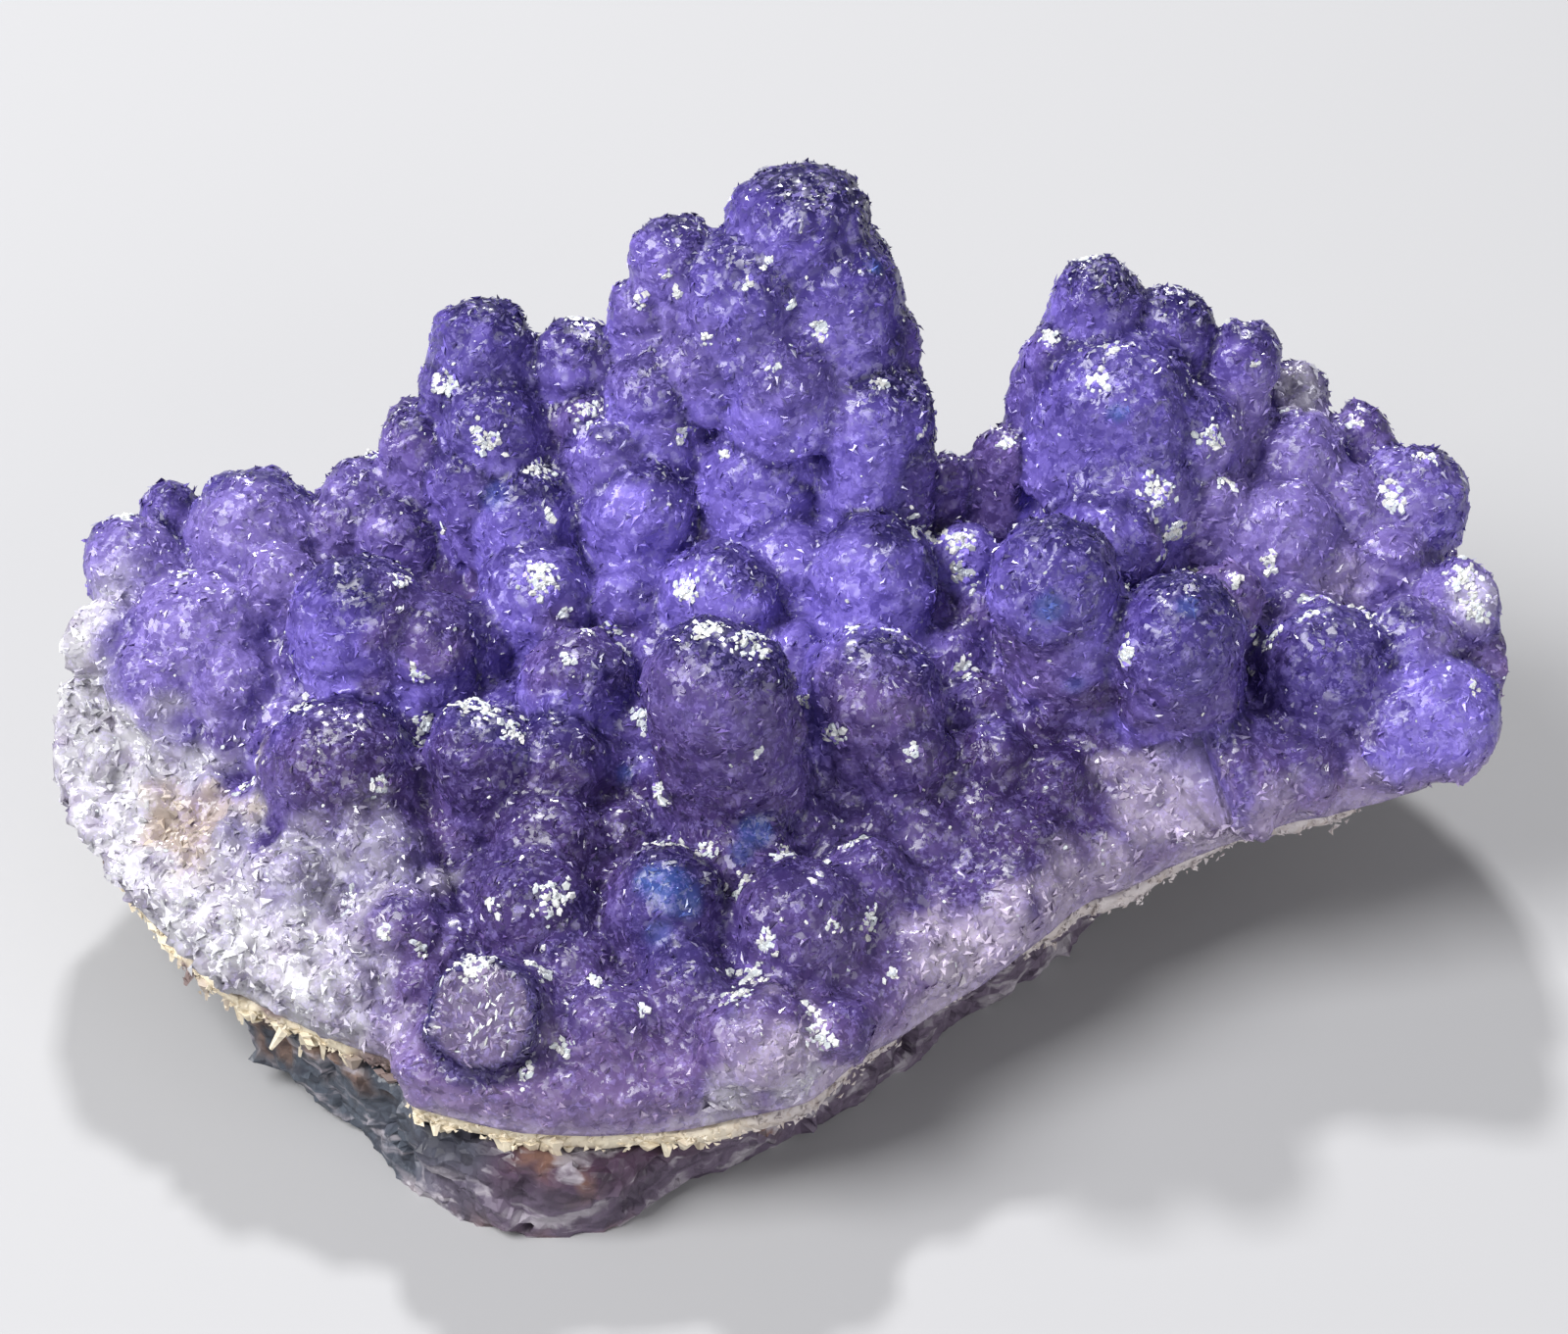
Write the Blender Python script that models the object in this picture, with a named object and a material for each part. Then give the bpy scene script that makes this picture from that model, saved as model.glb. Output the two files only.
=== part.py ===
"""Botryoidal fluorite: a crust of rounded violet knobs on a thin pale seam and a piece of host rock.

The specimen rests on the flat cut under its rock, with its origin at the middle of that footprint's
box. +X is to the right of its front and +Y is towards its back. Lengths are in millimetres until a
mesh is finished, and in metres after that.

A knob is given by where it shows from in front, on a picture plane that stands square to a line of
sight coming down at SIGHT_ELEVATION, and either by how far its ball stands above the crust's own
surface or, for the towers and both ends, by how far back it stands.
"""

import math

import bmesh
import bpy
import numpy as np
from mathutils import Matrix, Vector, noise

MM = 0.001

# The line of sight that the knobs and the front rim are measured along
SIGHT_ELEVATION = math.radians(40)
SIGHT_DISTANCE = 300.0
PICTURE_CENTRE = Vector((0.0, 1.5, 18.0))
PICTURE_RIGHT = Vector((1, 0, 0))
PICTURE_UP = Vector((0, math.sin(SIGHT_ELEVATION), math.cos(SIGHT_ELEVATION)))
TOWARDS_EYE = Vector((0, -math.cos(SIGHT_ELEVATION), math.sin(SIGHT_ELEVATION)))
EYE = PICTURE_CENTRE + TOWARDS_EYE * SIGHT_DISTANCE
# From the middle that the tables are measured from to the middle of the footprint's box
TO_FOOTPRINT_MIDDLE = Vector((0.115, -0.6, 0.0))
NEAREST, FARTHEST, SIGHT_STEP = 45.0, -55.0, 0.25

# The layers
SEAM_THICKNESS = 1.3
GAP = 0.3
CONTACT_LOW = 6.5
RIM_THICKNESS = 3.2
EDGE_BEVEL = 0.22
CONTACT_CELL = 8.0
BELOW_ALL = -8.0

# How finely the solids are faceted
RING_SEGMENTS = 60
KNOB_SEGMENTS = 14
CRUST_VOXEL = 0.75
CRUST_KEPT = 0.105
ROCK_ROUGHNESS = 1.5
SEAM_ROUGHNESS = 0.5

# Rises of the crust's surface: place across and back, height, reach across and back, and how
# steep-sided it is (1 is a gentle hill, more is a tower)
MOUND_FOOT = 11.0
SWELLS = (
    ("ridge", -2.0, 12.0, 12.0, 38.0, 21.0, 1.0),
    ("left_lobe", -35.0, 6.0, 4.5, 9.0, 9.0, 1.0),
    ("left_tower", -17.5, 14.0, 9.5, 6.0, 4.6, 2.0),
    ("summit", -0.8, 17.0, 14.5, 8.0, 6.0, 2.5),
    ("right_tower", 22.3, 15.0, 10.5, 7.5, 5.5, 2.5),
    ("right_shoulder", 34.0, 11.5, 6.5, 7.5, 8.0, 1.0),
    ("saddle", 10.8, 19.0, -3.0, 4.0, 8.0, 1.0),
)
STEEPER_BEHIND = 0.6
# Slopes left where the crust has broken away: a point on the slope and the way it faces
BROKEN_SLOPES = (
    (Vector((-40.5, -4.0, 17.0)), Vector((-0.66, -0.44, 0.61))),
    (Vector((-32.0, -17.0, 14.0)), Vector((-0.42, -0.52, 0.74))),
)

# The lower rim of the crust as it shows from in front (across, up), from its left end to its right end
FRONT_RIM = (
    (-45.3, -5.0), (-44.4, -9.0), (-42.2, -12.4), (-38.8, -16.6), (-34.2, -20.4), (-29.0, -22.9),
    (-24.2, -24.6), (-23.4, -27.5), (-17.0, -29.3), (-9.5, -29.3), (-3.0, -28.4), (1.8, -27.2),
    (4.8, -24.4), (9.6, -21.4), (14.8, -18.0), (18.6, -14.8), (24.0, -12.4), (30.0, -9.9),
    (36.0, -7.3), (40.6, -7.2), (44.2, -3.6),
)
# The rest of the rim seen from above, in plan, from the right end round the back to the left end
BACK_RIM = (
    (45.0, 4.0), (43.5, 12.0), (38.5, 21.0), (29.0, 26.5), (18.0, 28.5), (12.5, 25.5), (8.0, 25.5),
    (4.0, 29.5), (-5.0, 31.0), (-13.0, 28.0), (-22.0, 25.0), (-28.0, 22.5), (-34.0, 18.5), (-40.0, 12.5),
    (-44.0, 5.0),
)
# The flat cut under the rock: its front edge as it shows from in front, and the rest of it in plan
FRONT_FOOT = (
    (-30.4, -25.0), (-23.0, -31.5), (-15.4, -35.8), (-9.8, -34.6), (-6.4, -31.6), (-2.0, -30.2),
    (3.6, -27.0), (10.0, -21.8), (19.0, -13.6),
)
BACK_FOOT = ((27.0, 7.0), (25.0, 16.0), (13.0, 23.0), (-8.0, 24.0), (-24.0, 19.0), (-33.0, 8.0), (-33.5, -6.0))
# How much of the rim's reach the lower layers lose, in several directions in degrees (-90 is the front)
SEAM_SET_BACK = (
    (-180, 0.0), (-90, 0.0), (-68, 0.05), (-42, 0.05), (-32, 0.0), (-20, 0.0), (-6, 0.08), (60, 0.05), (120, 0.02),
)
ROCK_SET_BACK = ((-180, 0.03), (-100, 0.02), (-75, 0.06), (-55, 0.12), (0, 0.15), (60, 0.10), (120, 0.05))
UNDERCUT = 1.6

# Knobs of the towers and of both ends: across, up, radius and how far back
SUMMIT_KNOBS = (
    (0.9, 26.7, 4.5, 18.0), (-6.9, 25.1, 2.6, 17.0), (-8.4, 21.6, 2.4, 16.0), (-2.4, 22.8, 4.2, 15.5),
    (3.6, 22.8, 3.9, 15.5), (6.0, 20.4, 2.3, 15.0), (0.0, 17.4, 3.6, 12.0), (5.4, 15.0, 3.7, 11.5),
    (-4.8, 18.6, 3.0, 13.5), (-8.1, 16.5, 2.9, 12.5), (7.5, 12.6, 1.8, 10.0), (-4.8, 23.0, 3.4, 21.5),
    (3.2, 24.0, 3.8, 22.0), (-0.5, 19.5, 3.4, 25.0),
)
LEFT_TOWER_KNOBS = (
    (-18.5, 19.4, 3.2, 15.0), (-12.9, 18.7, 2.5, 15.0), (-20.6, 17.1, 1.9, 13.5), (-22.5, 13.5, 2.4, 12.0),
    (-18.0, 15.0, 3.0, 11.5), (-12.2, 15.3, 1.9, 12.5), (-19.5, 11.4, 2.3, 9.5), (-26.1, 10.3, 2.4, 11.0),
    (-24.0, 8.1, 2.4, 8.5), (-27.5, 8.6, 2.0, 9.5), (-15.6, 16.5, 3.0, 19.0), (-10.8, 13.0, 2.6, 10.5),
)
RIGHT_TOWER_KNOBS = (
    (19.1, 22.1, 3.0, 17.0), (23.5, 20.6, 2.9, 17.0), (28.1, 18.8, 2.4, 16.0), (16.6, 18.8, 2.3, 15.0),
    (20.4, 15.6, 5.3, 13.0), (25.3, 14.4, 2.9, 12.0), (21.0, 10.8, 4.8, 10.0), (26.1, 10.2, 2.2, 9.5),
    (19.9, 7.9, 3.6, 6.5), (27.0, 4.1, 2.3, 3.0), (21.5, 18.5, 3.3, 20.5), (26.5, 16.5, 2.8, 20.0),
    (13.5, 13.0, 2.0, 12.5), (10.1, 11.8, 1.3, 11.5),
)
RIGHT_END_KNOBS = (
    (31.3, 16.4, 2.3, 18.0), (31.5, 12.6, 3.3, 14.0), (35.5, 14.3, 2.0, 16.5), (38.4, 10.1, 3.7, 13.0),
    (30.2, 7.9, 4.0, 9.5), (36.9, 6.6, 2.4, 9.0), (41.3, 3.6, 3.0, 6.0), (34.6, 10.0, 2.6, 12.0),
    (40.4, -3.3, 3.8, -2.0), (37.6, -4.4, 3.0, -3.0), (38.4, 1.5, 2.8, 2.0),
)
LEFT_LOBE_KNOBS = (
    (-37.7, 9.5, 2.0, 13.0), (-32.5, 8.1, 4.0, 9.5), (-39.9, 6.1, 3.3, 8.0), (-35.7, 1.5, 4.6, 3.5),
    (-38.7, -1.5, 2.7, -0.5), (-30.7, 5.3, 2.3, 5.0), (-26.0, 2.6, 4.3, 1.0), (-22.1, 1.2, 3.4, 0.0),
    (-41.6, 1.6, 2.6, 3.0),
)
STANDING_GROUPS = (SUMMIT_KNOBS, LEFT_TOWER_KNOBS, RIGHT_TOWER_KNOBS, RIGHT_END_KNOBS, LEFT_LOBE_KNOBS)

# Knobs on the slopes: across, up, radius and how high the ball's middle stands above the surface
MIDDLE_KNOBS = (
    (-15.9, 9.3, 3.5, 3.0), (-9.0, 9.5, 3.6, 3.8), (-1.7, 11.5, 3.5, 3.2), (5.4, 5.3, 4.0, 3.0),
    (0.7, 6.3, 2.7, 1.4), (-3.9, 4.1, 3.5, 2.6), (-15.0, 4.2, 3.6, 1.6), (-9.6, 4.2, 2.4, 0.8),
    (11.1, 6.5, 2.3, 1.5), (12.0, 9.8, 2.3, 1.2), (-12.6, -1.2, 3.5, 2.2), (-19.8, 1.2, 3.0, 1.6),
)
LEFT_SLOPE_KNOBS = (
    (-27.3, -6.6, 4.7, 3.0), (-32.2, -8.9, 1.9, 1.0), (-24.9, -11.5, 3.3, 1.2), (-30.6, -13.5, 2.9, 0.4),
    (-23.7, -16.1, 2.8, 1.0), (-30.0, -16.5, 1.4, 0.6), (-33.9, -1.2, 2.4, 1.0),
)
FRONT_KNOBS = (
    (-18.7, -5.5, 3.4, 4.6), (-14.0, -5.9, 3.1, 2.8), (-20.7, -0.7, 2.0, 1.4), (-14.4, -10.9, 3.5, 1.0),
    (-15.3, -15.1, 3.6, 2.2), (-12.6, -18.3, 1.9, 1.2), (-10.8, -22.2, 2.7, 0.4), (0.7, 0.9, 2.0, 0.9),
    (5.3, -1.9, 4.4, 4.4), (7.3, -5.3, 2.9, 3.0), (-7.3, -14.5, 3.4, 3.4), (0.9, -15.9, 4.1, 2.0),
    (-3.0, -11.4, 3.6, 1.2), (5.4, -13.2, 2.7, 1.0), (-6.0, -19.8, 2.7, 0.8), (-1.5, -22.9, 3.6, 0.4),
    (3.2, -22.3, 2.3, 0.2), (12.6, -5.7, 2.4, 0.2),
)
RIGHT_SLOPE_KNOBS = ((33.3, -0.7, 4.7, 3.4), (27.9, -6.6, 3.6, 0.4), (31.8, -6.2, 2.7, 0.6))
SLOPE_GROUPS = (MIDDLE_KNOBS, LEFT_SLOPE_KNOBS, FRONT_KNOBS, RIGHT_SLOPE_KNOBS)
RIM_LEAN = 0.8
# The share of that height that is left, because the crust has grown up round the knobs
STANDS_OUT = 0.62
# Fingers long enough to show their stems: across, up, radius, height, and the lean of the tip
FINGERS = (
    (-4.0, -1.6, 4.4, 9.5, -0.10, -0.10),
    (16.5, 5.0, 4.1, 9.0, -0.22, -0.18),
    (24.2, 1.7, 4.0, 8.0, 0.00, -0.15),
)
# A finger that has snapped off, with the break facing out: across, up, radius, length of the stub
SNAPPED_FINGER = (-17.4, -21.3, 3.3, 4.2)

# Knobs on the backs of the towers, in plan: across, back, radius and how high above the surface
BACK_KNOBS = (
    (-8.0, 21.5, 2.8, 5.0), (7.0, 21.0, 2.6, 5.0), (-4.0, 27.5, 2.8, 4.0), (4.0, 26.5, 2.6, 5.5),
    (0.5, 23.0, 3.0, 9.0), (-8.5, 25.0, 2.2, 1.5), (17.0, 20.0, 2.7, 5.0), (29.0, 20.5, 2.4, 4.5),
    (24.0, 23.5, 2.8, 4.0), (19.5, 24.0, 2.4, 2.5), (33.5, 20.0, 2.3, 2.0), (36.5, 17.5, 2.4, 1.5),
    (-21.5, 17.5, 2.5, 4.5), (-12.0, 19.5, 2.5, 5.0), (-17.0, 22.5, 2.6, 2.5), (-25.5, 16.5, 2.3, 2.0),
    (-31.0, 15.0, 2.3, 1.0), (-35.5, 12.0, 2.5, 1.5),
)
# The knobs of the back slope, in rows round the back: reach from the middle, and how many
BACK_ROWS = ((0.72, 13), (0.89, 17))
BACK_FROM, BACK_TO = math.radians(8), math.radians(172)
BACK_RADIUS, BACK_RADIUS_CHANGE, BACK_LIFT = 2.6, 0.8, 0.3

# The small knobs between the others, on a loose grid
SIDE_EXTENT, BACK_EXTENT = 46.0, 34.0
HIGHEST_SMALL = 25.5
SMALL_SPACING = 3.5
SMALL_RADIUS, SMALL_RADIUS_CHANGE = 2.1, 1.1
SMALL_SUNK = 0.35
# Where the three chance values of a place are read
CHANCE_SHIFTS = (Vector((9.3, 1.5, 7.9)), Vector((31.4, 8.2, 2.6)), Vector((5.7, 47.2, 3.1)))

# Where a flake has split off the crust: across, up, how deep, the way the face looks and half its size
FLAKES = (
    ("right_flake", 23.6, -8.3, 0.9, Vector((0.30, -0.66, 0.69)), 3.6),
    ("front_flake", 10.2, -18.2, 0.8, Vector((0.34, -0.60, 0.72)), 3.0),
)


def contact_height(x, y):
    """Height of the uneven surface on which the crust grew."""
    bowl = 4.5 * ((x + 6) / 45) ** 2 + 0.06 * (y + 32)
    return CONTACT_LOW + bowl + 0.5 * math.sin(0.31 * x + 0.8) * math.cos(0.27 * y)


def foot_height(x, y):
    """Height of the flat cut that the specimen rests on."""
    return 0.0


def below_contact(x, y):
    """A level under all of the contact surface, where the bodies end before they are cut to it."""
    return BELOW_ALL / 2


def mound_height(x, y):
    """Height of the crust's surface between the knobs, which thins towards the rim."""
    full = MOUND_FOOT
    for _, across, back, height, reach_x, reach_y, steepness in SWELLS:
        if y > back:
            reach_y *= STEEPER_BEHIND
        away = ((x - across) / reach_x) ** 2 + ((y - back) / reach_y) ** 2
        full += height * math.exp(-(away**steepness))
    for point, facing in BROKEN_SLOPES:
        full = min(full, point.z - (facing.x * (x - point.x) + facing.y * (y - point.y)) / facing.z)
    inside = 1 - math.hypot(x, y) / rim_reach(math.atan2(y, x))
    share = min(max(inside / EDGE_BEVEL, 0), 1)
    rounded = math.sqrt(1 - (1 - share) ** 2)
    contact = contact_height(x, y)
    return contact + RIM_THICKNESS + max(full - contact - RIM_THICKNESS, 0) * rounded


def sight_point(across, up, surface, lift=0.0):
    """The first point on a line of sight that stands lift above the surface, or else its nearest pass."""
    on_plane = PICTURE_CENTRE + PICTURE_RIGHT * across + PICTURE_UP * up
    ray = (on_plane - EYE) / SIGHT_DISTANCE
    best, closest = on_plane, math.inf
    depth = NEAREST
    while depth > FARTHEST:
        point = on_plane - ray * depth
        above = point.z - surface(point.x, point.y) - lift
        if above <= 0:
            return point
        if above < closest:
            best, closest = point, above
        depth -= SIGHT_STEP
    return best


def sight_point_at(across, up, back):
    """Where a line of sight reaches a given distance back."""
    on_plane = PICTURE_CENTRE + PICTURE_RIGHT * across + PICTURE_UP * up
    ray = on_plane - EYE
    return EYE + ray * ((back - EYE.y) / ray.y)


def polar_reach(plan_points):
    """How far an outline reaches from the middle, as a function of the direction."""
    corners = sorted((math.atan2(y, x), math.hypot(x, y)) for x, y in plan_points)
    first, last = corners[0], corners[-1]
    corners = [(last[0] - math.tau, last[1]), *corners, (first[0] + math.tau, first[1])]

    def reach(angle):
        for (a, near), (b, far) in zip(corners, corners[1:]):
            if a <= angle <= b:
                return near + (far - near) * (angle - a) / (b - a)
        return first[1]

    return reach


def set_back(reach, losses):
    """An outline that has lost a share of its reach, which changes with the direction."""
    directions = [math.radians(direction) for direction, _ in losses]
    lost = [share for _, share in losses]
    return lambda angle: reach(angle) * (1 - float(np.interp(angle, directions, lost, period=math.tau)))


def seen_in_plan(picture_points, surface):
    """Places in plan of points that are seen on a surface."""
    return [tuple(sight_point(across, up, surface).xy) for across, up in picture_points]


rim_reach = polar_reach([*seen_in_plan(FRONT_RIM, contact_height), *BACK_RIM])
foot_reach = polar_reach([*seen_in_plan(FRONT_FOOT, foot_height), *BACK_FOOT])
seam_reach = set_back(rim_reach, SEAM_SET_BACK)
rock_reach = set_back(rim_reach, ROCK_SET_BACK)


def ring_of(bm, reach, share, height):
    """Moves the ring that was made last to its place."""

    def place(verts):
        for i, vert in enumerate(verts):
            angle = -math.pi + math.tau * (i + 0.5) / RING_SEGMENTS
            far = reach(angle) * share
            x, y = far * math.cos(angle), far * math.sin(angle)
            vert.co = (x, y, height(x, y))

    return place


def stack_of_rings(bm, rings):
    """A closed body through rings of points round the middle, from the bottom ring to the top one."""
    made = bmesh.ops.create_circle(bm, segments=RING_SEGMENTS, radius=1, cap_ends=False)
    verts = made["verts"]
    edges = list(dict.fromkeys(edge for vert in verts for edge in vert.link_edges))
    bmesh.ops.contextual_create(bm, geom=edges)
    for number, (reach, share, height) in enumerate(rings):
        if number:
            extruded = bmesh.ops.extrude_edge_only(bm, edges=edges)
            fresh = {item for item in extruded["geom"] if isinstance(item, bmesh.types.BMVert)}
            edges = [
                item
                for item in extruded["geom"]
                if isinstance(item, bmesh.types.BMEdge) and all(v in fresh for v in item.verts)
            ]
            partner = {v: next(e.other_vert(v) for e in v.link_edges if e.other_vert(v) not in fresh) for v in fresh}
            behind = {old: new for new, old in partner.items()}
            verts = [behind[old] for old in verts]
        ring_of(bm, reach, share, height)(verts)
    bmesh.ops.contextual_create(bm, geom=edges)


def mesh_object(name, bm, material=None):
    """An object in metres, standing on its footprint's middle, from a mesh in millimetres."""
    bmesh.ops.recalc_face_normals(bm, faces=bm.faces)
    bmesh.ops.triangulate(bm, faces=bm.faces)
    bmesh.ops.translate(bm, vec=TO_FOOTPRINT_MIDDLE, verts=bm.verts)
    bmesh.ops.scale(bm, vec=(MM, MM, MM), verts=bm.verts)
    mesh = bpy.data.meshes.new(name)
    bm.to_mesh(mesh)
    bm.free()
    if material:
        mesh.materials.append(material)
    made = bpy.data.objects.new(name, mesh)
    bpy.context.scene.collection.objects.link(made)
    return made


def finish(name, colour, roughness):
    """A plain material with the mineral's colour."""
    material = bpy.data.materials.new(name)
    material.use_nodes = True
    shader = material.node_tree.nodes["Principled BSDF"]
    shader.inputs["Base Color"].default_value = (*colour, 1)
    shader.inputs["Roughness"].default_value = roughness
    shader.inputs["Metallic"].default_value = 0
    return material


def add_ball(bm, centre, radius):
    bmesh.ops.create_icosphere(bm, subdivisions=2, radius=radius, matrix=Matrix.Translation(centre))


def add_column(bm, foot, tip, foot_radius, tip_radius):
    """A tapered column between two points."""
    axis = tip - foot
    turn = axis.to_track_quat("Z", "Y").to_matrix().to_4x4()
    bmesh.ops.create_cone(
        bm,
        cap_ends=True,
        segments=KNOB_SEGMENTS,
        radius1=foot_radius,
        radius2=tip_radius,
        depth=axis.length,
        matrix=Matrix.Translation((foot + tip) / 2) @ turn,
    )


def rim_share(place):
    """How far out a place is, from 0 in the middle to 1 at the rim."""
    return math.hypot(place.x, place.y) / rim_reach(math.atan2(place.y, place.x))


def stem_length(centre, radius, lift):
    """Stems are shorter near the rim, so that none shows under it."""
    return lift + radius * max(1 - rim_share(centre) ** 4, 0.1)


def add_knob(bm, centre, radius, lift, lean):
    """A ball on a short stem that goes down into the crust."""
    stem = Vector((lean[0], lean[1], 1)).normalized() * stem_length(centre, radius, lift)
    add_ball(bm, centre, radius)
    add_column(bm, centre - stem, centre, radius * 1.12, radius * 0.97)


def natural_lean(place):
    """Knobs lean a little outwards from the middle of the crust, and those at the rim lean out a lot."""
    far, share = math.hypot(place.x, place.y), rim_share(place)
    outwards = 0.25 * share + RIM_LEAN * max(share, 0.6) ** 5
    return outwards * place.x / far, outwards * place.y / far


def front_knobs():
    """Every knob that shows from in front, each where its line of sight meets the crust."""
    grown = []
    for across, up, radius, back in (knob for group in STANDING_GROUPS for knob in group):
        place = sight_point_at(across, up, back)
        lift = max(place.z - mound_height(place.x, place.y), 0)
        grown.append((place, radius, lift, natural_lean(place)))
    for across, up, radius, height in (knob for group in SLOPE_GROUPS for knob in group):
        lift = height * STANDS_OUT
        place = sight_point(across, up, mound_height, lift)
        grown.append((place, radius, lift, natural_lean(place)))
    for across, up, radius, lift, lean_x, lean_y in FINGERS:
        place = sight_point(across, up, mound_height, lift)
        grown.append((place, radius, lift, (lean_x, lean_y)))
    return grown


def back_knobs():
    """Knobs on the backs of the towers, and in staggered rows over the slope that faces away."""
    grown = []
    for x, y, radius, lift in BACK_KNOBS:
        place = Vector((x, y, mound_height(x, y) + lift))
        grown.append((place, radius, lift, natural_lean(place)))
    for row, (share, count) in enumerate(BACK_ROWS):
        for i in range(count):
            angle = BACK_FROM + (BACK_TO - BACK_FROM) * (i + 0.5 * (row % 2)) / count
            chance = noise.noise(Vector((7.3 * i, 3.1 * row, 0.5)))
            far = rim_reach(angle) * (share + 0.05 * chance)
            x, y = far * math.cos(angle), far * math.sin(angle)
            radius = BACK_RADIUS + BACK_RADIUS_CHANGE * chance
            place = Vector((x, y, mound_height(x, y) + BACK_LIFT))
            grown.append((place, radius, BACK_LIFT, natural_lean(place)))
    return grown


def chance_at(where):
    """Three values between -1 and 1 that look random and are always the same for a place."""
    return Vector([noise.noise(where + shift) for shift in CHANCE_SHIFTS])


def small_knobs(large):
    """Small knobs wherever the large ones leave the crust bare."""
    grown = []
    rows, columns = int(2 * BACK_EXTENT / SMALL_SPACING), int(2 * SIDE_EXTENT / SMALL_SPACING)
    for row in range(rows):
        for column in range(columns):
            where = Vector((column * 3.7, row * 2.9, 1.3))
            chance = chance_at(where)
            x = (column + 0.5 * (row % 2)) * SMALL_SPACING - SIDE_EXTENT + chance.x * 1.6
            y = row * SMALL_SPACING - BACK_EXTENT + chance.y * 1.6
            radius = SMALL_RADIUS + SMALL_RADIUS_CHANGE * chance.z
            place = Vector((x, y, mound_height(x, y) - SMALL_SUNK * radius))
            if rim_share(place) > 0.96 or place.z > HIGHEST_SMALL:
                continue
            covered = any((place - other).length < 0.8 * size + 0.3 * radius for other, size, _, _ in large)
            if not covered:
                grown.append((place, radius, 0.0, natural_lean(place)))
    return grown


def snapped_finger(bm):
    """The stub of a finger, which ends in a flat break that faces the front."""
    across, up, radius, length = SNAPPED_FINGER
    root = sight_point(across, up, mound_height)
    axis = (TOWARDS_EYE + Vector((-0.25, 0, 0.1))).normalized()
    add_column(bm, root - axis * radius, root + axis * length, radius * 1.05, radius)


def contact_block(name, offset):
    """A helper block whose top is the contact surface, raised by offset."""
    half_x, half_y = 54.0, 42.0
    bm = bmesh.new()
    bmesh.ops.create_grid(
        bm,
        x_segments=int(2 * half_x / CONTACT_CELL),
        y_segments=int(2 * half_y / CONTACT_CELL),
        size=1,
        matrix=Matrix.Diagonal((half_x, half_y, 1, 1)),
    )
    for vert in bm.verts:
        vert.co.z = contact_height(vert.co.x, vert.co.y) + offset
    extruded = bmesh.ops.extrude_face_region(bm, geom=list(bm.faces))
    for item in extruded["geom"]:
        if isinstance(item, bmesh.types.BMVert):
            item.co.z = BELOW_ALL
    return as_helper(mesh_object(name, bm))


def as_helper(helper):
    helper.hide_render = True
    helper.display_type = "WIRE"
    return helper


def cut(target, operation, cutter):
    boolean = target.modifiers.new(cutter.name, "BOOLEAN")
    boolean.operation = operation
    boolean.object = cutter


def splitter(name, point, facing, size):
    """A helper block whose one side is the face that a flake leaves."""
    bm = bmesh.new()
    turn = facing.to_track_quat("Z", "Y").to_matrix().to_4x4()
    place = Matrix.Translation(point + facing.normalized() * size) @ turn
    bmesh.ops.create_cube(bm, size=2 * size, matrix=place)
    return as_helper(mesh_object(name, bm))


def make_crust(material):
    """The fluorite: one body of mound, knobs and fingers."""
    bm = bmesh.new()
    below = (rim_reach, 0.9, below_contact)
    shares = (1.0, 0.97, 0.93, 0.88, 0.8, 0.7, 0.6, 0.5, 0.4, 0.3, 0.2, 0.1, 0.03)
    stack_of_rings(bm, [below, *((rim_reach, share, mound_height) for share in shares)])
    large = front_knobs() + back_knobs()
    for place, radius, lift, lean in large + small_knobs(large):
        add_knob(bm, place, radius, lift, lean)
    snapped_finger(bm)
    crust = mesh_object("fluorite_crust", bm, material)
    grown = crust.modifiers.new("grown_together", "REMESH")
    grown.mode = "VOXEL"
    grown.voxel_size = CRUST_VOXEL * MM
    grown.use_smooth_shade = True
    fewer = crust.modifiers.new("fewer_faces", "DECIMATE")
    fewer.ratio = CRUST_KEPT
    cut(crust, "DIFFERENCE", contact_block("under_crust", GAP / 2))
    for name, across, up, depth, facing, size in FLAKES:
        face = sight_point(across, up, mound_height, SMALL_RADIUS) - facing * depth
        cut(crust, "DIFFERENCE", splitter(name, face, facing, size))
    return crust


def rough_rings(bottom, top, shares, roughness):
    """Rings for a broken side between an outline below and an outline above."""

    def rough(angle, share, seed):
        about = bottom(angle) * (1 - share) + top(angle) * share
        where = Vector((math.cos(angle), math.sin(angle), 0))
        ledges = noise.noise(where * 3 + Vector((0, 0, seed))) + 0.6 * noise.noise(where * 9 + Vector((5, 0, seed)))
        return about + roughness * ledges

    return [lambda angle, s=share, n=number: rough(angle, s, 1.7 * n) for number, share in enumerate(shares)]


def make_seam(material):
    """The pale layer between crust and rock, as far out as the rim."""
    bm = bmesh.new()
    reaches = rough_rings(seam_reach, seam_reach, (0.0, 1.0), SEAM_ROUGHNESS)
    stack_of_rings(
        bm,
        [
            (reaches[0], 0.9, below_contact),
            (reaches[1], 0.985, lambda x, y: contact_height(x, y) + SEAM_THICKNESS),
        ],
    )
    seam = mesh_object("pale_seam", bm, material)
    cut(seam, "INTERSECT", contact_block("seam_top", -GAP / 2))
    cut(seam, "DIFFERENCE", contact_block("seam_bottom", -GAP / 2 - SEAM_THICKNESS))
    return seam


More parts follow.
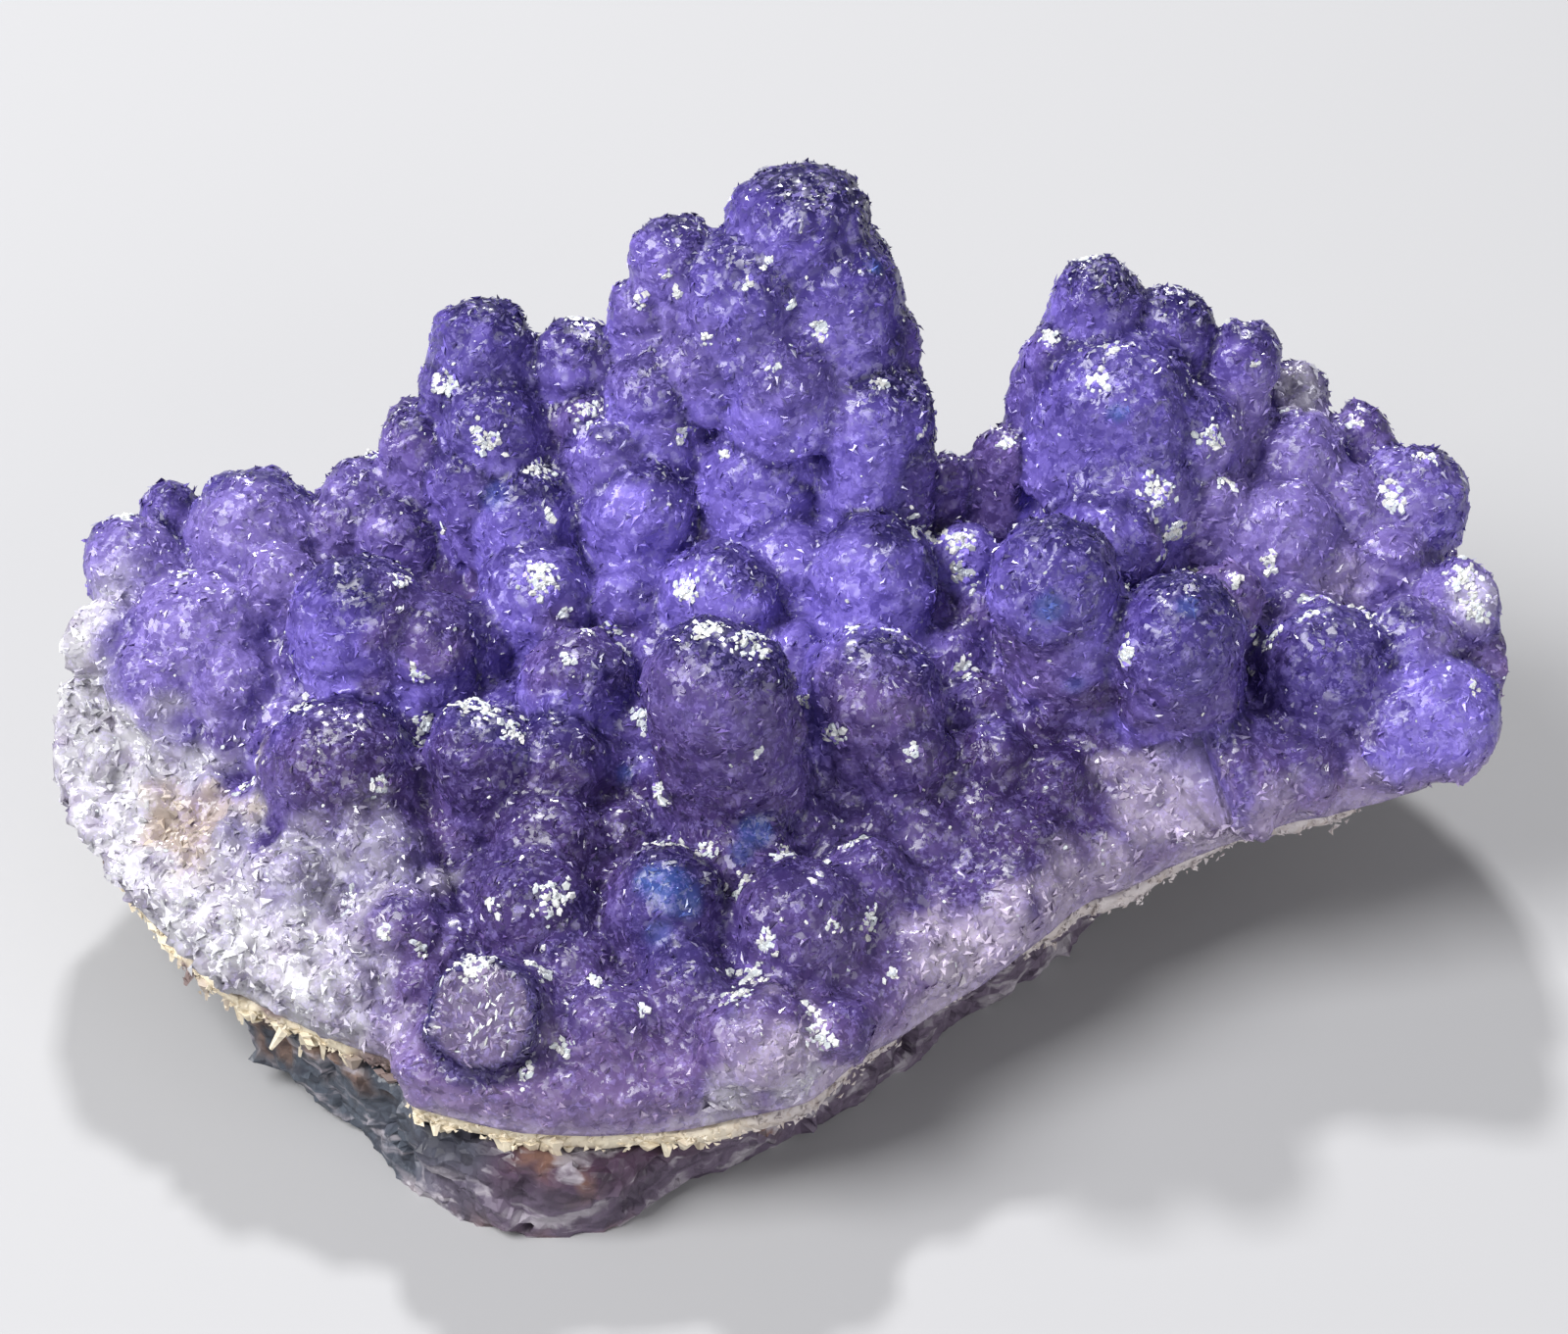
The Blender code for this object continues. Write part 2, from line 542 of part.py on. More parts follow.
def make_rock(material):
    """The host rock, undercut from the rim down to the flat cut that it rests on."""
    bm = bmesh.new()
    levels = (0.0, 0.2, 0.45, 0.7, 1.0)
    reaches = rough_rings(foot_reach, rock_reach, [level**UNDERCUT for level in levels], ROCK_ROUGHNESS)
    rings = [
        (reach, 1, lambda x, y, level=level: level * (contact_height(x, y) + SEAM_THICKNESS))
        for reach, level in zip(reaches, levels)
    ]
    stack_of_rings(bm, rings)
    rock = mesh_object("host_rock", bm, material)
    cut(rock, "INTERSECT", contact_block("rock_top", -1.5 * GAP - SEAM_THICKNESS))
    return rock


def clear_scene():
    for old in list(bpy.data.objects):
        bpy.data.objects.remove(old, do_unlink=True)


clear_scene()
make_crust(finish("violet_fluorite", (0.16, 0.08, 0.42), 0.32))
make_seam(finish("cream_seam", (0.78, 0.72, 0.58), 0.7))
make_rock(finish("dark_host_rock", (0.16, 0.11, 0.15), 0.75))
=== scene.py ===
# %% [markdown]
# # Botryoidal fluorite
#
# This lesson dresses a mineral specimen: a crust of rounded violet fluorite knobs that grew on a thin
# pale seam of quartz, with a piece of dark host rock left under it. The solids were made first. They have
# the same knobs, but not the skin of tiny crystals that makes the real thing sparkle. Here each layer is
# grown again in much finer mesh, in the same place and from the same measures.

# %% Load the solids
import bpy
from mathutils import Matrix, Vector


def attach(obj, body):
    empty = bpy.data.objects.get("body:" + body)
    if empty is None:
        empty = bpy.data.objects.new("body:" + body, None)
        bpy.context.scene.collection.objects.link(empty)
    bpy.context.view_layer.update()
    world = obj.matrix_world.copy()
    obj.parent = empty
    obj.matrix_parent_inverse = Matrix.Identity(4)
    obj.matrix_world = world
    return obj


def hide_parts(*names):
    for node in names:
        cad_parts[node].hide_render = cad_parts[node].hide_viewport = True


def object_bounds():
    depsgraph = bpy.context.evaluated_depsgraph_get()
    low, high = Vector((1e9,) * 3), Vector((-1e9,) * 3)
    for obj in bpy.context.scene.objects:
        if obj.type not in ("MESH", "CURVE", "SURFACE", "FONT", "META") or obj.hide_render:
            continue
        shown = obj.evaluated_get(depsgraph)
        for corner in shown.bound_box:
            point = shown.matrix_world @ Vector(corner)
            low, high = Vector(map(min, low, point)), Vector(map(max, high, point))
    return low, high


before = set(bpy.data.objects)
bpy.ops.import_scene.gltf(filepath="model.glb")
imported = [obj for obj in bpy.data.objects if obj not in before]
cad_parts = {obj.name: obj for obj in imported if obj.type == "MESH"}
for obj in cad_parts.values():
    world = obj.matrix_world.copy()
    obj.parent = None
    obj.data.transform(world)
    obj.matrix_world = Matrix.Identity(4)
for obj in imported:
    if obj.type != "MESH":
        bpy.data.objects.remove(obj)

cad_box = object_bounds()
print("nodes:", ", ".join(sorted(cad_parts)))

# %% Tools
import math

import bmesh
import bpy
import numpy as np
from mathutils import Matrix, Vector, noise
from mathutils.bvhtree import BVHTree

MM = 0.001
print("a millimetre is", MM, "m")

# %% [markdown]
# ## The line of sight
#
# Most knobs are only known from in front, so they are given by where they show on a picture plane. The
# plane stands square to a line of sight that comes down at 40 degrees. A place on it is so many
# millimetres across and so many up. The camera looks along the same line.

# %% Picture plane
SIGHT_ELEVATION = math.radians(40)
SIGHT_DISTANCE = 300.0
PICTURE_CENTRE = Vector((0.0, 1.5, 18.0))
PICTURE_RIGHT = Vector((1, 0, 0))
PICTURE_UP = Vector((0, math.sin(SIGHT_ELEVATION), math.cos(SIGHT_ELEVATION)))
TOWARDS_EYE = Vector((0, -math.cos(SIGHT_ELEVATION), math.sin(SIGHT_ELEVATION)))
EYE = PICTURE_CENTRE + TOWARDS_EYE * SIGHT_DISTANCE
# From the middle that the tables are measured from to the middle of the footprint's box
TO_FOOTPRINT_MIDDLE = Vector((0.115, -0.6, 0.0))
NEAREST, FARTHEST, SIGHT_STEP = 45.0, -55.0, 0.25


def on_picture(across, up):
    """A place on the picture plane."""
    return PICTURE_CENTRE + PICTURE_RIGHT * across + PICTURE_UP * up


def sight_point(across, up, surface, lift=0.0):
    """The first point on a line of sight that stands no more than lift above the surface."""
    on_plane = on_picture(across, up)
    ray = (on_plane - EYE) / SIGHT_DISTANCE
    for step in range(int((NEAREST - FARTHEST) / SIGHT_STEP)):
        point = on_plane - ray * (NEAREST - step * SIGHT_STEP)
        if point.z - surface(point.x, point.y) - lift <= 0:
            return point


def sight_point_at(across, up, back):
    """Where a line of sight reaches a given distance back."""
    ray = on_picture(across, up) - EYE
    return EYE + ray * ((back - EYE.y) / ray.y)


print("the eye is at", [round(value) for value in EYE], "mm")

# %% [markdown]
# ## The layers
#
# The crust grew on an uneven surface, and so did the seam under it. One function gives that surface, and
# every layer is cut to it with a small gap. The crust itself swells into a ridge with three towers. Two
# slopes on the left are where part of it broke away.

# %% Contact surface
SEAM_THICKNESS = 1.3
GAP = 0.3
BELOW_ALL = -8.0
# A wide bowl that rises to the back, with low waves on it
CONTACT_LOW = 6.5
BOWL_RISE, BOWL_REACH, BOWL_MIDDLE = 4.5, 45, -6
SLOPE, SLOPE_FRONT = 0.06, -32
WAVE_HEIGHT, WAVE_SHIFT = 0.5, 0.8
WAVES_ACROSS, WAVES_BACK = 0.31, 0.27


def contact_height(x, y, maths=math):
    """Height of the uneven surface on which the crust grew. Arrays of places take numpy's maths."""
    bowl = BOWL_RISE * ((x - BOWL_MIDDLE) / BOWL_REACH) ** 2 + SLOPE * (y - SLOPE_FRONT)
    waves = maths.sin(WAVES_ACROSS * x + WAVE_SHIFT) * maths.cos(WAVES_BACK * y)
    return CONTACT_LOW + bowl + WAVE_HEIGHT * waves


def foot_height(x, y):
    """Height of the flat cut that the specimen rests on."""
    return 0.0


def below_contact(x, y):
    """A level under all of the contact surface, where the bodies end before they are cut to it."""
    return BELOW_ALL / 2


print("contact surface at the middle:", round(float(contact_height(0, 0)), 2), "mm up")

# %% Outlines of the rim and the foot
# The lower rim of the crust as it shows from in front (across, up), from its left end to its right end
FRONT_RIM = (
    (-45.3, -5.0), (-44.4, -9.0), (-42.2, -12.4), (-38.8, -16.6), (-34.2, -20.4), (-29.0, -22.9),
    (-24.2, -24.6), (-23.4, -27.5), (-17.0, -29.3), (-9.5, -29.3), (-3.0, -28.4), (1.8, -27.2),
    (4.8, -24.4), (9.6, -21.4), (14.8, -18.0), (18.6, -14.8), (24.0, -12.4), (30.0, -9.9),
    (36.0, -7.3), (40.6, -7.2), (44.2, -3.6),
)
# The rest of the rim seen from above, in plan, from the right end round the back to the left end
BACK_RIM = (
    (45.0, 4.0), (43.5, 12.0), (38.5, 21.0), (29.0, 26.5), (18.0, 28.5), (12.5, 25.5), (8.0, 25.5),
    (4.0, 29.5), (-5.0, 31.0), (-13.0, 28.0), (-22.0, 25.0), (-28.0, 22.5), (-34.0, 18.5), (-40.0, 12.5),
    (-44.0, 5.0),
)
# The flat cut under the rock: its front edge as it shows from in front, and the rest of it in plan
FRONT_FOOT = (
    (-30.4, -25.0), (-23.0, -31.5), (-15.4, -35.8), (-9.8, -34.6), (-6.4, -31.6), (-2.0, -30.2),
    (3.6, -27.0), (10.0, -21.8), (19.0, -13.6),
)
BACK_FOOT = (
    (27.0, 7.0), (25.0, 16.0), (13.0, 23.0), (-8.0, 24.0), (-24.0, 19.0), (-33.0, 8.0), (-33.5, -6.0),
)
# How much of the rim's reach the lower layers lose, in several directions in degrees (-90 is the front)
SEAM_SET_BACK = (
    (-180, 0.0), (-90, 0.0), (-68, 0.05), (-42, 0.05), (-32, 0.0), (-20, 0.0), (-6, 0.08), (60, 0.05),
    (120, 0.02),
)
ROCK_SET_BACK = ((-180, 0.03), (-100, 0.02), (-75, 0.06), (-55, 0.12), (0, 0.15), (60, 0.10), (120, 0.05))
print("the rim has", len(FRONT_RIM) + len(BACK_RIM), "points, the foot", len(FRONT_FOOT) + len(BACK_FOOT))


# %% How far each outline reaches
def polar_reach(plan_points):
    """How far an outline reaches from the middle, as a function of the direction."""
    corners = sorted((math.atan2(y, x), math.hypot(x, y)) for x, y in plan_points)
    first, last = corners[0], corners[-1]
    corners = [(last[0] - math.tau, last[1]), *corners, (first[0] + math.tau, first[1])]

    def reach(angle):
        for (a, near), (b, far) in zip(corners, corners[1:]):
            if a <= angle <= b:
                return near + (far - near) * (angle - a) / (b - a)
        return first[1]

    return reach


def set_back(reach, losses):
    """An outline that has lost a share of its reach, which changes with the direction."""
    directions = [math.radians(direction) for direction, _ in losses]
    lost = [share for _, share in losses]
    return lambda angle: reach(angle) * (1 - float(np.interp(angle, directions, lost, period=math.tau)))


def seen_in_plan(picture_points, surface):
    """Places in plan of points that are seen on a surface."""
    return [tuple(sight_point(across, up, surface).xy) for across, up in picture_points]


rim_reach = polar_reach([*seen_in_plan(FRONT_RIM, contact_height), *BACK_RIM])
foot_reach = polar_reach([*seen_in_plan(FRONT_FOOT, foot_height), *BACK_FOOT])
seam_reach = set_back(rim_reach, SEAM_SET_BACK)
rock_reach = set_back(rim_reach, ROCK_SET_BACK)
print("the rim reaches", round(rim_reach(0)), "mm to the right")

# %% Swells of the crust
# Name, place across and back, height, reach across and back, and steepness (more than 1 makes a tower)
SWELLS = (
    ("ridge", -2.0, 12.0, 12.0, 38.0, 21.0, 1.0),
    ("left_lobe", -35.0, 6.0, 4.5, 9.0, 9.0, 1.0),
    ("left_tower", -17.5, 14.0, 9.5, 6.0, 4.6, 2.0),
    ("summit", -0.8, 17.0, 14.5, 8.0, 6.0, 2.5),
    ("right_tower", 22.3, 15.0, 10.5, 7.5, 5.5, 2.5),
    ("right_shoulder", 34.0, 11.5, 6.5, 7.5, 8.0, 1.0),
    ("saddle", 10.8, 19.0, -3.0, 4.0, 8.0, 1.0),
)
MOUND_FOOT = 11.0
STEEPER_BEHIND = 0.6
RIM_THICKNESS = 3.2
EDGE_BEVEL = 0.22
# Slopes left where the crust has broken away: a point on the slope and the way it faces
BROKEN_SLOPES = (
    (Vector((-40.5, -4.0, 17.0)), Vector((-0.66, -0.44, 0.61))),
    (Vector((-32.0, -17.0, 14.0)), Vector((-0.42, -0.52, 0.74))),
)


def mound_height(x, y):
    """Height of the crust's surface between the knobs, which thins towards the rim."""
    full = MOUND_FOOT
    for _, across, back, height, reach_x, reach_y, steepness in SWELLS:
        if y > back:
            reach_y *= STEEPER_BEHIND
        away = ((x - across) / reach_x) ** 2 + ((y - back) / reach_y) ** 2
        full += height * math.exp(-(away**steepness))
    for point, facing in BROKEN_SLOPES:
        full = min(full, point.z - (facing.x * (x - point.x) + facing.y * (y - point.y)) / facing.z)
    inside = 1 - math.hypot(x, y) / rim_reach(math.atan2(y, x))
    share = min(max(inside / EDGE_BEVEL, 0), 1)
    rounded = math.sqrt(1 - (1 - share) ** 2)
    contact = contact_height(x, y)
    return contact + RIM_THICKNESS + max(full - contact - RIM_THICKNESS, 0) * rounded


print("the summit's flank stands at", round(float(mound_height(0, 17)), 1), "mm")

# %% [markdown]
# ## Knobs
#
# Each knob is a ball on a short stem. The towers' knobs are given with their distance back, because a line
# of sight can pass over the slope and miss. The others lie where their line of sight meets the crust. Small
# knobs fill what the large ones leave bare, on a loose grid, so no stretch stays smooth.

# %% Knobs of the towers and both ends: across, up, radius and how far back
STANDING_KNOBS = (
    # The summit
    (0.9, 26.7, 4.5, 18.0), (-6.9, 25.1, 2.6, 17.0), (-8.4, 21.6, 2.4, 16.0), (-2.4, 22.8, 4.2, 15.5),
    (3.6, 22.8, 3.9, 15.5), (6.0, 20.4, 2.3, 15.0), (0.0, 17.4, 3.6, 12.0), (5.4, 15.0, 3.7, 11.5),
    (-4.8, 18.6, 3.0, 13.5), (-8.1, 16.5, 2.9, 12.5), (7.5, 12.6, 1.8, 10.0), (-4.8, 23.0, 3.4, 21.5),
    (3.2, 24.0, 3.8, 22.0), (-0.5, 19.5, 3.4, 25.0),
    # The left tower
    (-18.5, 19.4, 3.2, 15.0), (-12.9, 18.7, 2.5, 15.0), (-20.6, 17.1, 1.9, 13.5), (-22.5, 13.5, 2.4, 12.0),
    (-18.0, 15.0, 3.0, 11.5), (-12.2, 15.3, 1.9, 12.5), (-19.5, 11.4, 2.3, 9.5), (-26.1, 10.3, 2.4, 11.0),
    (-24.0, 8.1, 2.4, 8.5), (-27.5, 8.6, 2.0, 9.5), (-15.6, 16.5, 3.0, 19.0), (-10.8, 13.0, 2.6, 10.5),
    # The right tower
    (19.1, 22.1, 3.0, 17.0), (23.5, 20.6, 2.9, 17.0), (28.1, 18.8, 2.4, 16.0), (16.6, 18.8, 2.3, 15.0),
    (20.4, 15.6, 5.3, 13.0), (25.3, 14.4, 2.9, 12.0), (21.0, 10.8, 4.8, 10.0), (26.1, 10.2, 2.2, 9.5),
    (19.9, 7.9, 3.6, 6.5), (27.0, 4.1, 2.3, 3.0), (21.5, 18.5, 3.3, 20.5), (26.5, 16.5, 2.8, 20.0),
    (13.5, 13.0, 2.0, 12.5), (10.1, 11.8, 1.3, 11.5),
    # The right end
    (31.3, 16.4, 2.3, 18.0), (31.5, 12.6, 3.3, 14.0), (35.5, 14.3, 2.0, 16.5), (38.4, 10.1, 3.7, 13.0),
    (30.2, 7.9, 4.0, 9.5), (36.9, 6.6, 2.4, 9.0), (41.3, 3.6, 3.0, 6.0), (34.6, 10.0, 2.6, 12.0),
    (40.4, -3.3, 3.8, -2.0), (37.6, -4.4, 3.0, -3.0), (38.4, 1.5, 2.8, 2.0),
    # The left lobe
    (-37.7, 9.5, 2.0, 13.0), (-32.5, 8.1, 4.0, 9.5), (-39.9, 6.1, 3.3, 8.0), (-35.7, 1.5, 4.6, 3.5),
    (-38.7, -1.5, 2.7, -0.5), (-30.7, 5.3, 2.3, 5.0), (-26.0, 2.6, 4.3, 1.0), (-22.1, 1.2, 3.4, 0.0),
    (-41.6, 1.6, 2.6, 3.0),
)
print(len(STANDING_KNOBS), "knobs on the towers and ends")

# %% Knobs on the slopes: across, up, radius and how high the ball's middle stands above the surface
SLOPE_KNOBS = (
    # The middle
    (-15.9, 9.3, 3.5, 3.0), (-9.0, 9.5, 3.6, 3.8), (-1.7, 11.5, 3.5, 3.2), (5.4, 5.3, 4.0, 3.0),
    (0.7, 6.3, 2.7, 1.4), (-3.9, 4.1, 3.5, 2.6), (-15.0, 4.2, 3.6, 1.6), (-9.6, 4.2, 2.4, 0.8),
    (11.1, 6.5, 2.3, 1.5), (12.0, 9.8, 2.3, 1.2), (-12.6, -1.2, 3.5, 2.2), (-19.8, 1.2, 3.0, 1.6),
    # The left slope
    (-27.3, -6.6, 4.7, 3.0), (-32.2, -8.9, 1.9, 1.0), (-24.9, -11.5, 3.3, 1.2), (-30.6, -13.5, 2.9, 0.4),
    (-23.7, -16.1, 2.8, 1.0), (-30.0, -16.5, 1.4, 0.6), (-33.9, -1.2, 2.4, 1.0),
    # The front
    (-18.7, -5.5, 3.4, 4.6), (-14.0, -5.9, 3.1, 2.8), (-20.7, -0.7, 2.0, 1.4), (-14.4, -10.9, 3.5, 1.0),
    (-15.3, -15.1, 3.6, 2.2), (-12.6, -18.3, 1.9, 1.2), (-10.8, -22.2, 2.7, 0.4), (0.7, 0.9, 2.0, 0.9),
    (5.3, -1.9, 4.4, 4.4), (7.3, -5.3, 2.9, 3.0), (-7.3, -14.5, 3.4, 3.4), (0.9, -15.9, 4.1, 2.0),
    (-3.0, -11.4, 3.6, 1.2), (5.4, -13.2, 2.7, 1.0), (-6.0, -19.8, 2.7, 0.8), (-1.5, -22.9, 3.6, 0.4),
    (3.2, -22.3, 2.3, 0.2), (12.6, -5.7, 2.4, 0.2),
    # The right slope
    (33.3, -0.7, 4.7, 3.4), (27.9, -6.6, 3.6, 0.4), (31.8, -6.2, 2.7, 0.6),
)
# The share of that height that is left, because the crust has grown up round the knobs
STANDS_OUT = 0.62
# Fingers long enough to show their stems: across, up, radius, height, and the lean of the tip
FINGERS = (
    (-4.0, -1.6, 4.4, 9.5, -0.10, -0.10),
    (16.5, 5.0, 4.1, 9.0, -0.22, -0.18),
    (24.2, 1.7, 4.0, 8.0, 0.00, -0.15),
)
print(len(SLOPE_KNOBS), "knobs on the slopes and", len(FINGERS), "fingers")

# %% Knobs that don't show from in front
# On the backs of the towers, in plan: across, back, radius and how high above the surface
BACK_KNOBS = (
    (-8.0, 21.5, 2.8, 5.0), (7.0, 21.0, 2.6, 5.0), (-4.0, 27.5, 2.8, 4.0), (4.0, 26.5, 2.6, 5.5),
    (0.5, 23.0, 3.0, 9.0), (-8.5, 25.0, 2.2, 1.5), (17.0, 20.0, 2.7, 5.0), (29.0, 20.5, 2.4, 4.5),
    (24.0, 23.5, 2.8, 4.0), (19.5, 24.0, 2.4, 2.5), (33.5, 20.0, 2.3, 2.0), (36.5, 17.5, 2.4, 1.5),
    (-21.5, 17.5, 2.5, 4.5), (-12.0, 19.5, 2.5, 5.0), (-17.0, 22.5, 2.6, 2.5), (-25.5, 16.5, 2.3, 2.0),
    (-31.0, 15.0, 2.3, 1.0), (-35.5, 12.0, 2.5, 1.5),
)
# Rows round the back slope: reach from the middle, and how many
BACK_ROWS = ((0.72, 13), (0.89, 17))
BACK_FROM, BACK_TO = math.radians(8), math.radians(172)
BACK_RADIUS, BACK_RADIUS_CHANGE, BACK_REACH_CHANGE, BACK_LIFT = 2.6, 0.8, 0.05, 0.3
print(len(BACK_KNOBS), "knobs behind the towers and", sum(count for _, count in BACK_ROWS), "in rows")

# %% Grow the large knobs
MIDDLE_LEAN, RIM_LEAN, RIM_LEAN_FROM = 0.25, 0.8, 0.6
SHORTEST_STEM = 0.1


def rim_share(place):
    """How far out a place is, from 0 in the middle to 1 at the rim."""
    return math.hypot(place.x, place.y) / rim_reach(math.atan2(place.y, place.x))


def natural_lean(place):
    """Knobs lean a little outwards from the middle of the crust, and those at the rim lean out a lot."""
    far, share = math.hypot(place.x, place.y), rim_share(place)
    outwards = MIDDLE_LEAN * share + RIM_LEAN * max(share, RIM_LEAN_FROM) ** 5
    return outwards * place.x / far, outwards * place.y / far


def knob(place, radius, lift, lean=None):
    """A knob's place, radius and stem. Near the rim the stem is shorter, so that none shows under it."""
    lean_x, lean_y = lean or natural_lean(place)
    length = lift + radius * max(1 - rim_share(place) ** 4, SHORTEST_STEM)
    return place, radius, Vector((lean_x, lean_y, 1)).normalized() * length


def knob_above(x, y, radius, lift):
    """A knob whose middle stands lift above the crust at a place in plan."""
    return knob(Vector((x, y, mound_height(x, y) + lift)), radius, lift)


def front_knobs():
    """Every knob that shows from in front, each where its line of sight meets the crust."""
    grown = []
    for across, up, radius, back in STANDING_KNOBS:
        place = sight_point_at(across, up, back)
        grown.append(knob(place, radius, max(place.z - mound_height(place.x, place.y), 0)))
    for across, up, radius, height in SLOPE_KNOBS:
        lift = height * STANDS_OUT
        grown.append(knob(sight_point(across, up, mound_height, lift), radius, lift))
    for across, up, radius, lift, *lean in FINGERS:
        grown.append(knob(sight_point(across, up, mound_height, lift), radius, lift, lean))
    return grown


def back_knobs():
    """Knobs on the backs of the towers, and in staggered rows over the slope that faces away."""
    grown = [knob_above(*told) for told in BACK_KNOBS]
    for row, (share, count) in enumerate(BACK_ROWS):
        for i in range(count):
            angle = BACK_FROM + (BACK_TO - BACK_FROM) * (i + 0.5 * (row % 2)) / count
            chance = noise.noise(Vector((7.3 * i, 3.1 * row, 0.5)))
            far = rim_reach(angle) * (share + BACK_REACH_CHANGE * chance)
            radius = BACK_RADIUS + BACK_RADIUS_CHANGE * chance
            grown.append(knob_above(far * math.cos(angle), far * math.sin(angle), radius, BACK_LIFT))
    return grown


large_knobs = front_knobs() + back_knobs()
print(len(large_knobs), "large knobs")

# %% Small knobs between the others, on a loose grid
SIDE_EXTENT, BACK_EXTENT = 46.0, 34.0
SMALL_SPACING, SMALL_WANDER = 3.5, 1.6
SMALL_RADIUS, SMALL_RADIUS_CHANGE = 2.1, 1.1
SMALL_SUNK = 0.35
HIGHEST_SMALL, OUTERMOST_SMALL = 25.5, 0.96
# How near a large knob a small one may stand, as shares of the large one's radius and of its own
ROOM_OF_LARGE, ROOM_OF_SMALL = 0.8, 0.3
# Where the three chance values of a place are read
CHANCE_SHIFTS = (Vector((9.3, 1.5, 7.9)), Vector((31.4, 8.2, 2.6)), Vector((5.7, 47.2, 3.1)))


def chance_at(where):
    """Three values between -1 and 1 that look random and are always the same for a place."""
    return Vector([noise.noise(where + shift) for shift in CHANCE_SHIFTS])


def is_bare(place, radius):
    """Whether a small knob fits at a place, between the large ones and inside the rim."""
    if rim_share(place) > OUTERMOST_SMALL or place.z > HIGHEST_SMALL:
        return False
    return all(
        (place - other).length >= ROOM_OF_LARGE * size + ROOM_OF_SMALL * radius
        for other, size, _ in large_knobs
    )


knobs = list(large_knobs)
for row in range(int(2 * BACK_EXTENT / SMALL_SPACING)):
    for column in range(int(2 * SIDE_EXTENT / SMALL_SPACING)):
        chance = chance_at(Vector((column * 3.7, row * 2.9, 1.3)))
        x = (column + 0.5 * (row % 2)) * SMALL_SPACING - SIDE_EXTENT + chance.x * SMALL_WANDER
        y = row * SMALL_SPACING - BACK_EXTENT + chance.y * SMALL_WANDER
        radius = SMALL_RADIUS + SMALL_RADIUS_CHANGE * chance.z
        place = Vector((x, y, mound_height(x, y) - SMALL_SUNK * radius))
        if is_bare(place, radius):
            knobs.append(knob(place, radius, 0.0))
print(len(knobs) - len(large_knobs), "small knobs")

# %% [markdown]
# ## Growing the crust together
#
# The mound is a stack of rings, extruded upwards one after another. The balls and stems are added to the
# same mesh, and a voxel Remesh melts everything into one skin, which leaves the sharp creases that
# touching knobs have. The solids used the same parts with a coarser voxel.

# %% Rings stacked into a body
def stack_of_rings(rings, segments):
    """A closed body through rings of points round the middle, from the bottom ring to the top one."""
    bm = bmesh.new()
    verts = bmesh.ops.create_circle(bm, segments=segments, radius=1, cap_ends=False)["verts"]
    edges = list(dict.fromkeys(edge for vert in verts for edge in vert.link_edges))
    bmesh.ops.contextual_create(bm, geom=edges)
    for number, (reach, share, height) in enumerate(rings):
        if number:
            extruded = bmesh.ops.extrude_edge_only(bm, edges=edges)["geom"]
            fresh = {item for item in extruded if isinstance(item, bmesh.types.BMVert)}
            edges = [item for item in extruded if isinstance(item, bmesh.types.BMEdge)]
            edges = [edge for edge in edges if fresh.issuperset(edge.verts)]
            beside = ((edge.other_vert(vert), vert) for vert in fresh for edge in vert.link_edges)
            behind = {old: vert for old, vert in beside if old not in fresh}
            verts = [behind[old] for old in verts]
        for i, vert in enumerate(verts):
            angle = -math.pi + math.tau * (i + 0.5) / segments
            far = reach(angle) * share
            x, y = far * math.cos(angle), far * math.sin(angle)
            vert.co = (x, y, height(x, y))
    bmesh.ops.contextual_create(bm, geom=edges)
    return bm


trial = stack_of_rings([(rim_reach, share, mound_height) for share in (1, 0.5)], 8)
print("two rings of 8 points make", len(trial.verts), "points and", len(trial.faces), "faces")
trial.free()

# %% Meshes in millimetres
SOFT_WALL = 0.5


def in_scene(name, data):
    """An object in the scene for a mesh, a light or a camera."""
    made = bpy.data.objects.new(name, data)
    bpy.context.scene.collection.objects.link(made)
    return made


def mesh_of(name, bm):
    """A mesh from a bmesh, which is freed."""
    mesh = bpy.data.meshes.new(name)
    bm.to_mesh(mesh)
    bm.free()
    return mesh


def cone(segments, bottom, top, length, place=Matrix()):
    """A cone or a tapered column, upright unless its place turns it."""
    bm = bmesh.new()
    bmesh.ops.create_cone(
        bm, cap_ends=True, segments=segments, radius1=bottom, radius2=top, depth=length, matrix=place
    )
    return bm


def standing_along(direction, middle):
    """The place of a shape whose Z runs along a direction."""
    return Matrix.Translation(middle) @ direction.to_track_quat("Z", "Y").to_matrix().to_4x4()


def mesh_object(name, bm):
    """An object in metres, standing on its footprint's middle, from a mesh in millimetres."""
    bmesh.ops.recalc_face_normals(bm, faces=bm.faces)
    bmesh.ops.triangulate(bm, faces=bm.faces)
    bmesh.ops.translate(bm, vec=TO_FOOTPRINT_MIDDLE, verts=bm.verts)
    bmesh.ops.scale(bm, vec=(MM, MM, MM), verts=bm.verts)
    return in_scene(name, mesh_of(name, bm))


def flat_values(items, name):
    """A vector of each item as a row of three numbers."""
    flat = np.empty(len(items) * 3)
    items.foreach_get(name, flat)
    return flat.reshape(-1, 3)


def places_of(mesh):
    """The vertices as rows of millimetres, measured as the tables are."""
    return flat_values(mesh.vertices, "co") / MM - np.array(TO_FOOTPRINT_MIDDLE)


def normals_of(mesh):
    """The way the mesh faces at each vertex."""
    return flat_values(mesh.vertex_normals, "vector")


def kept_inside(places):
    """Presses what comes near the walls of the solids' box gently inwards, so that nothing passes them."""
    low, high = (np.array(corner) / MM for corner in cad_box)
    for axis, wall, side in ((0, high, 1), (0, low, -1), (1, high, 1), (1, low, -1), (2, high, 1)):
        room = side * (wall[axis] - places[:, axis])
        places[:, axis] = wall[axis] - side * (room + np.sqrt(room**2 + SOFT_WALL**2)) / 2
    return places


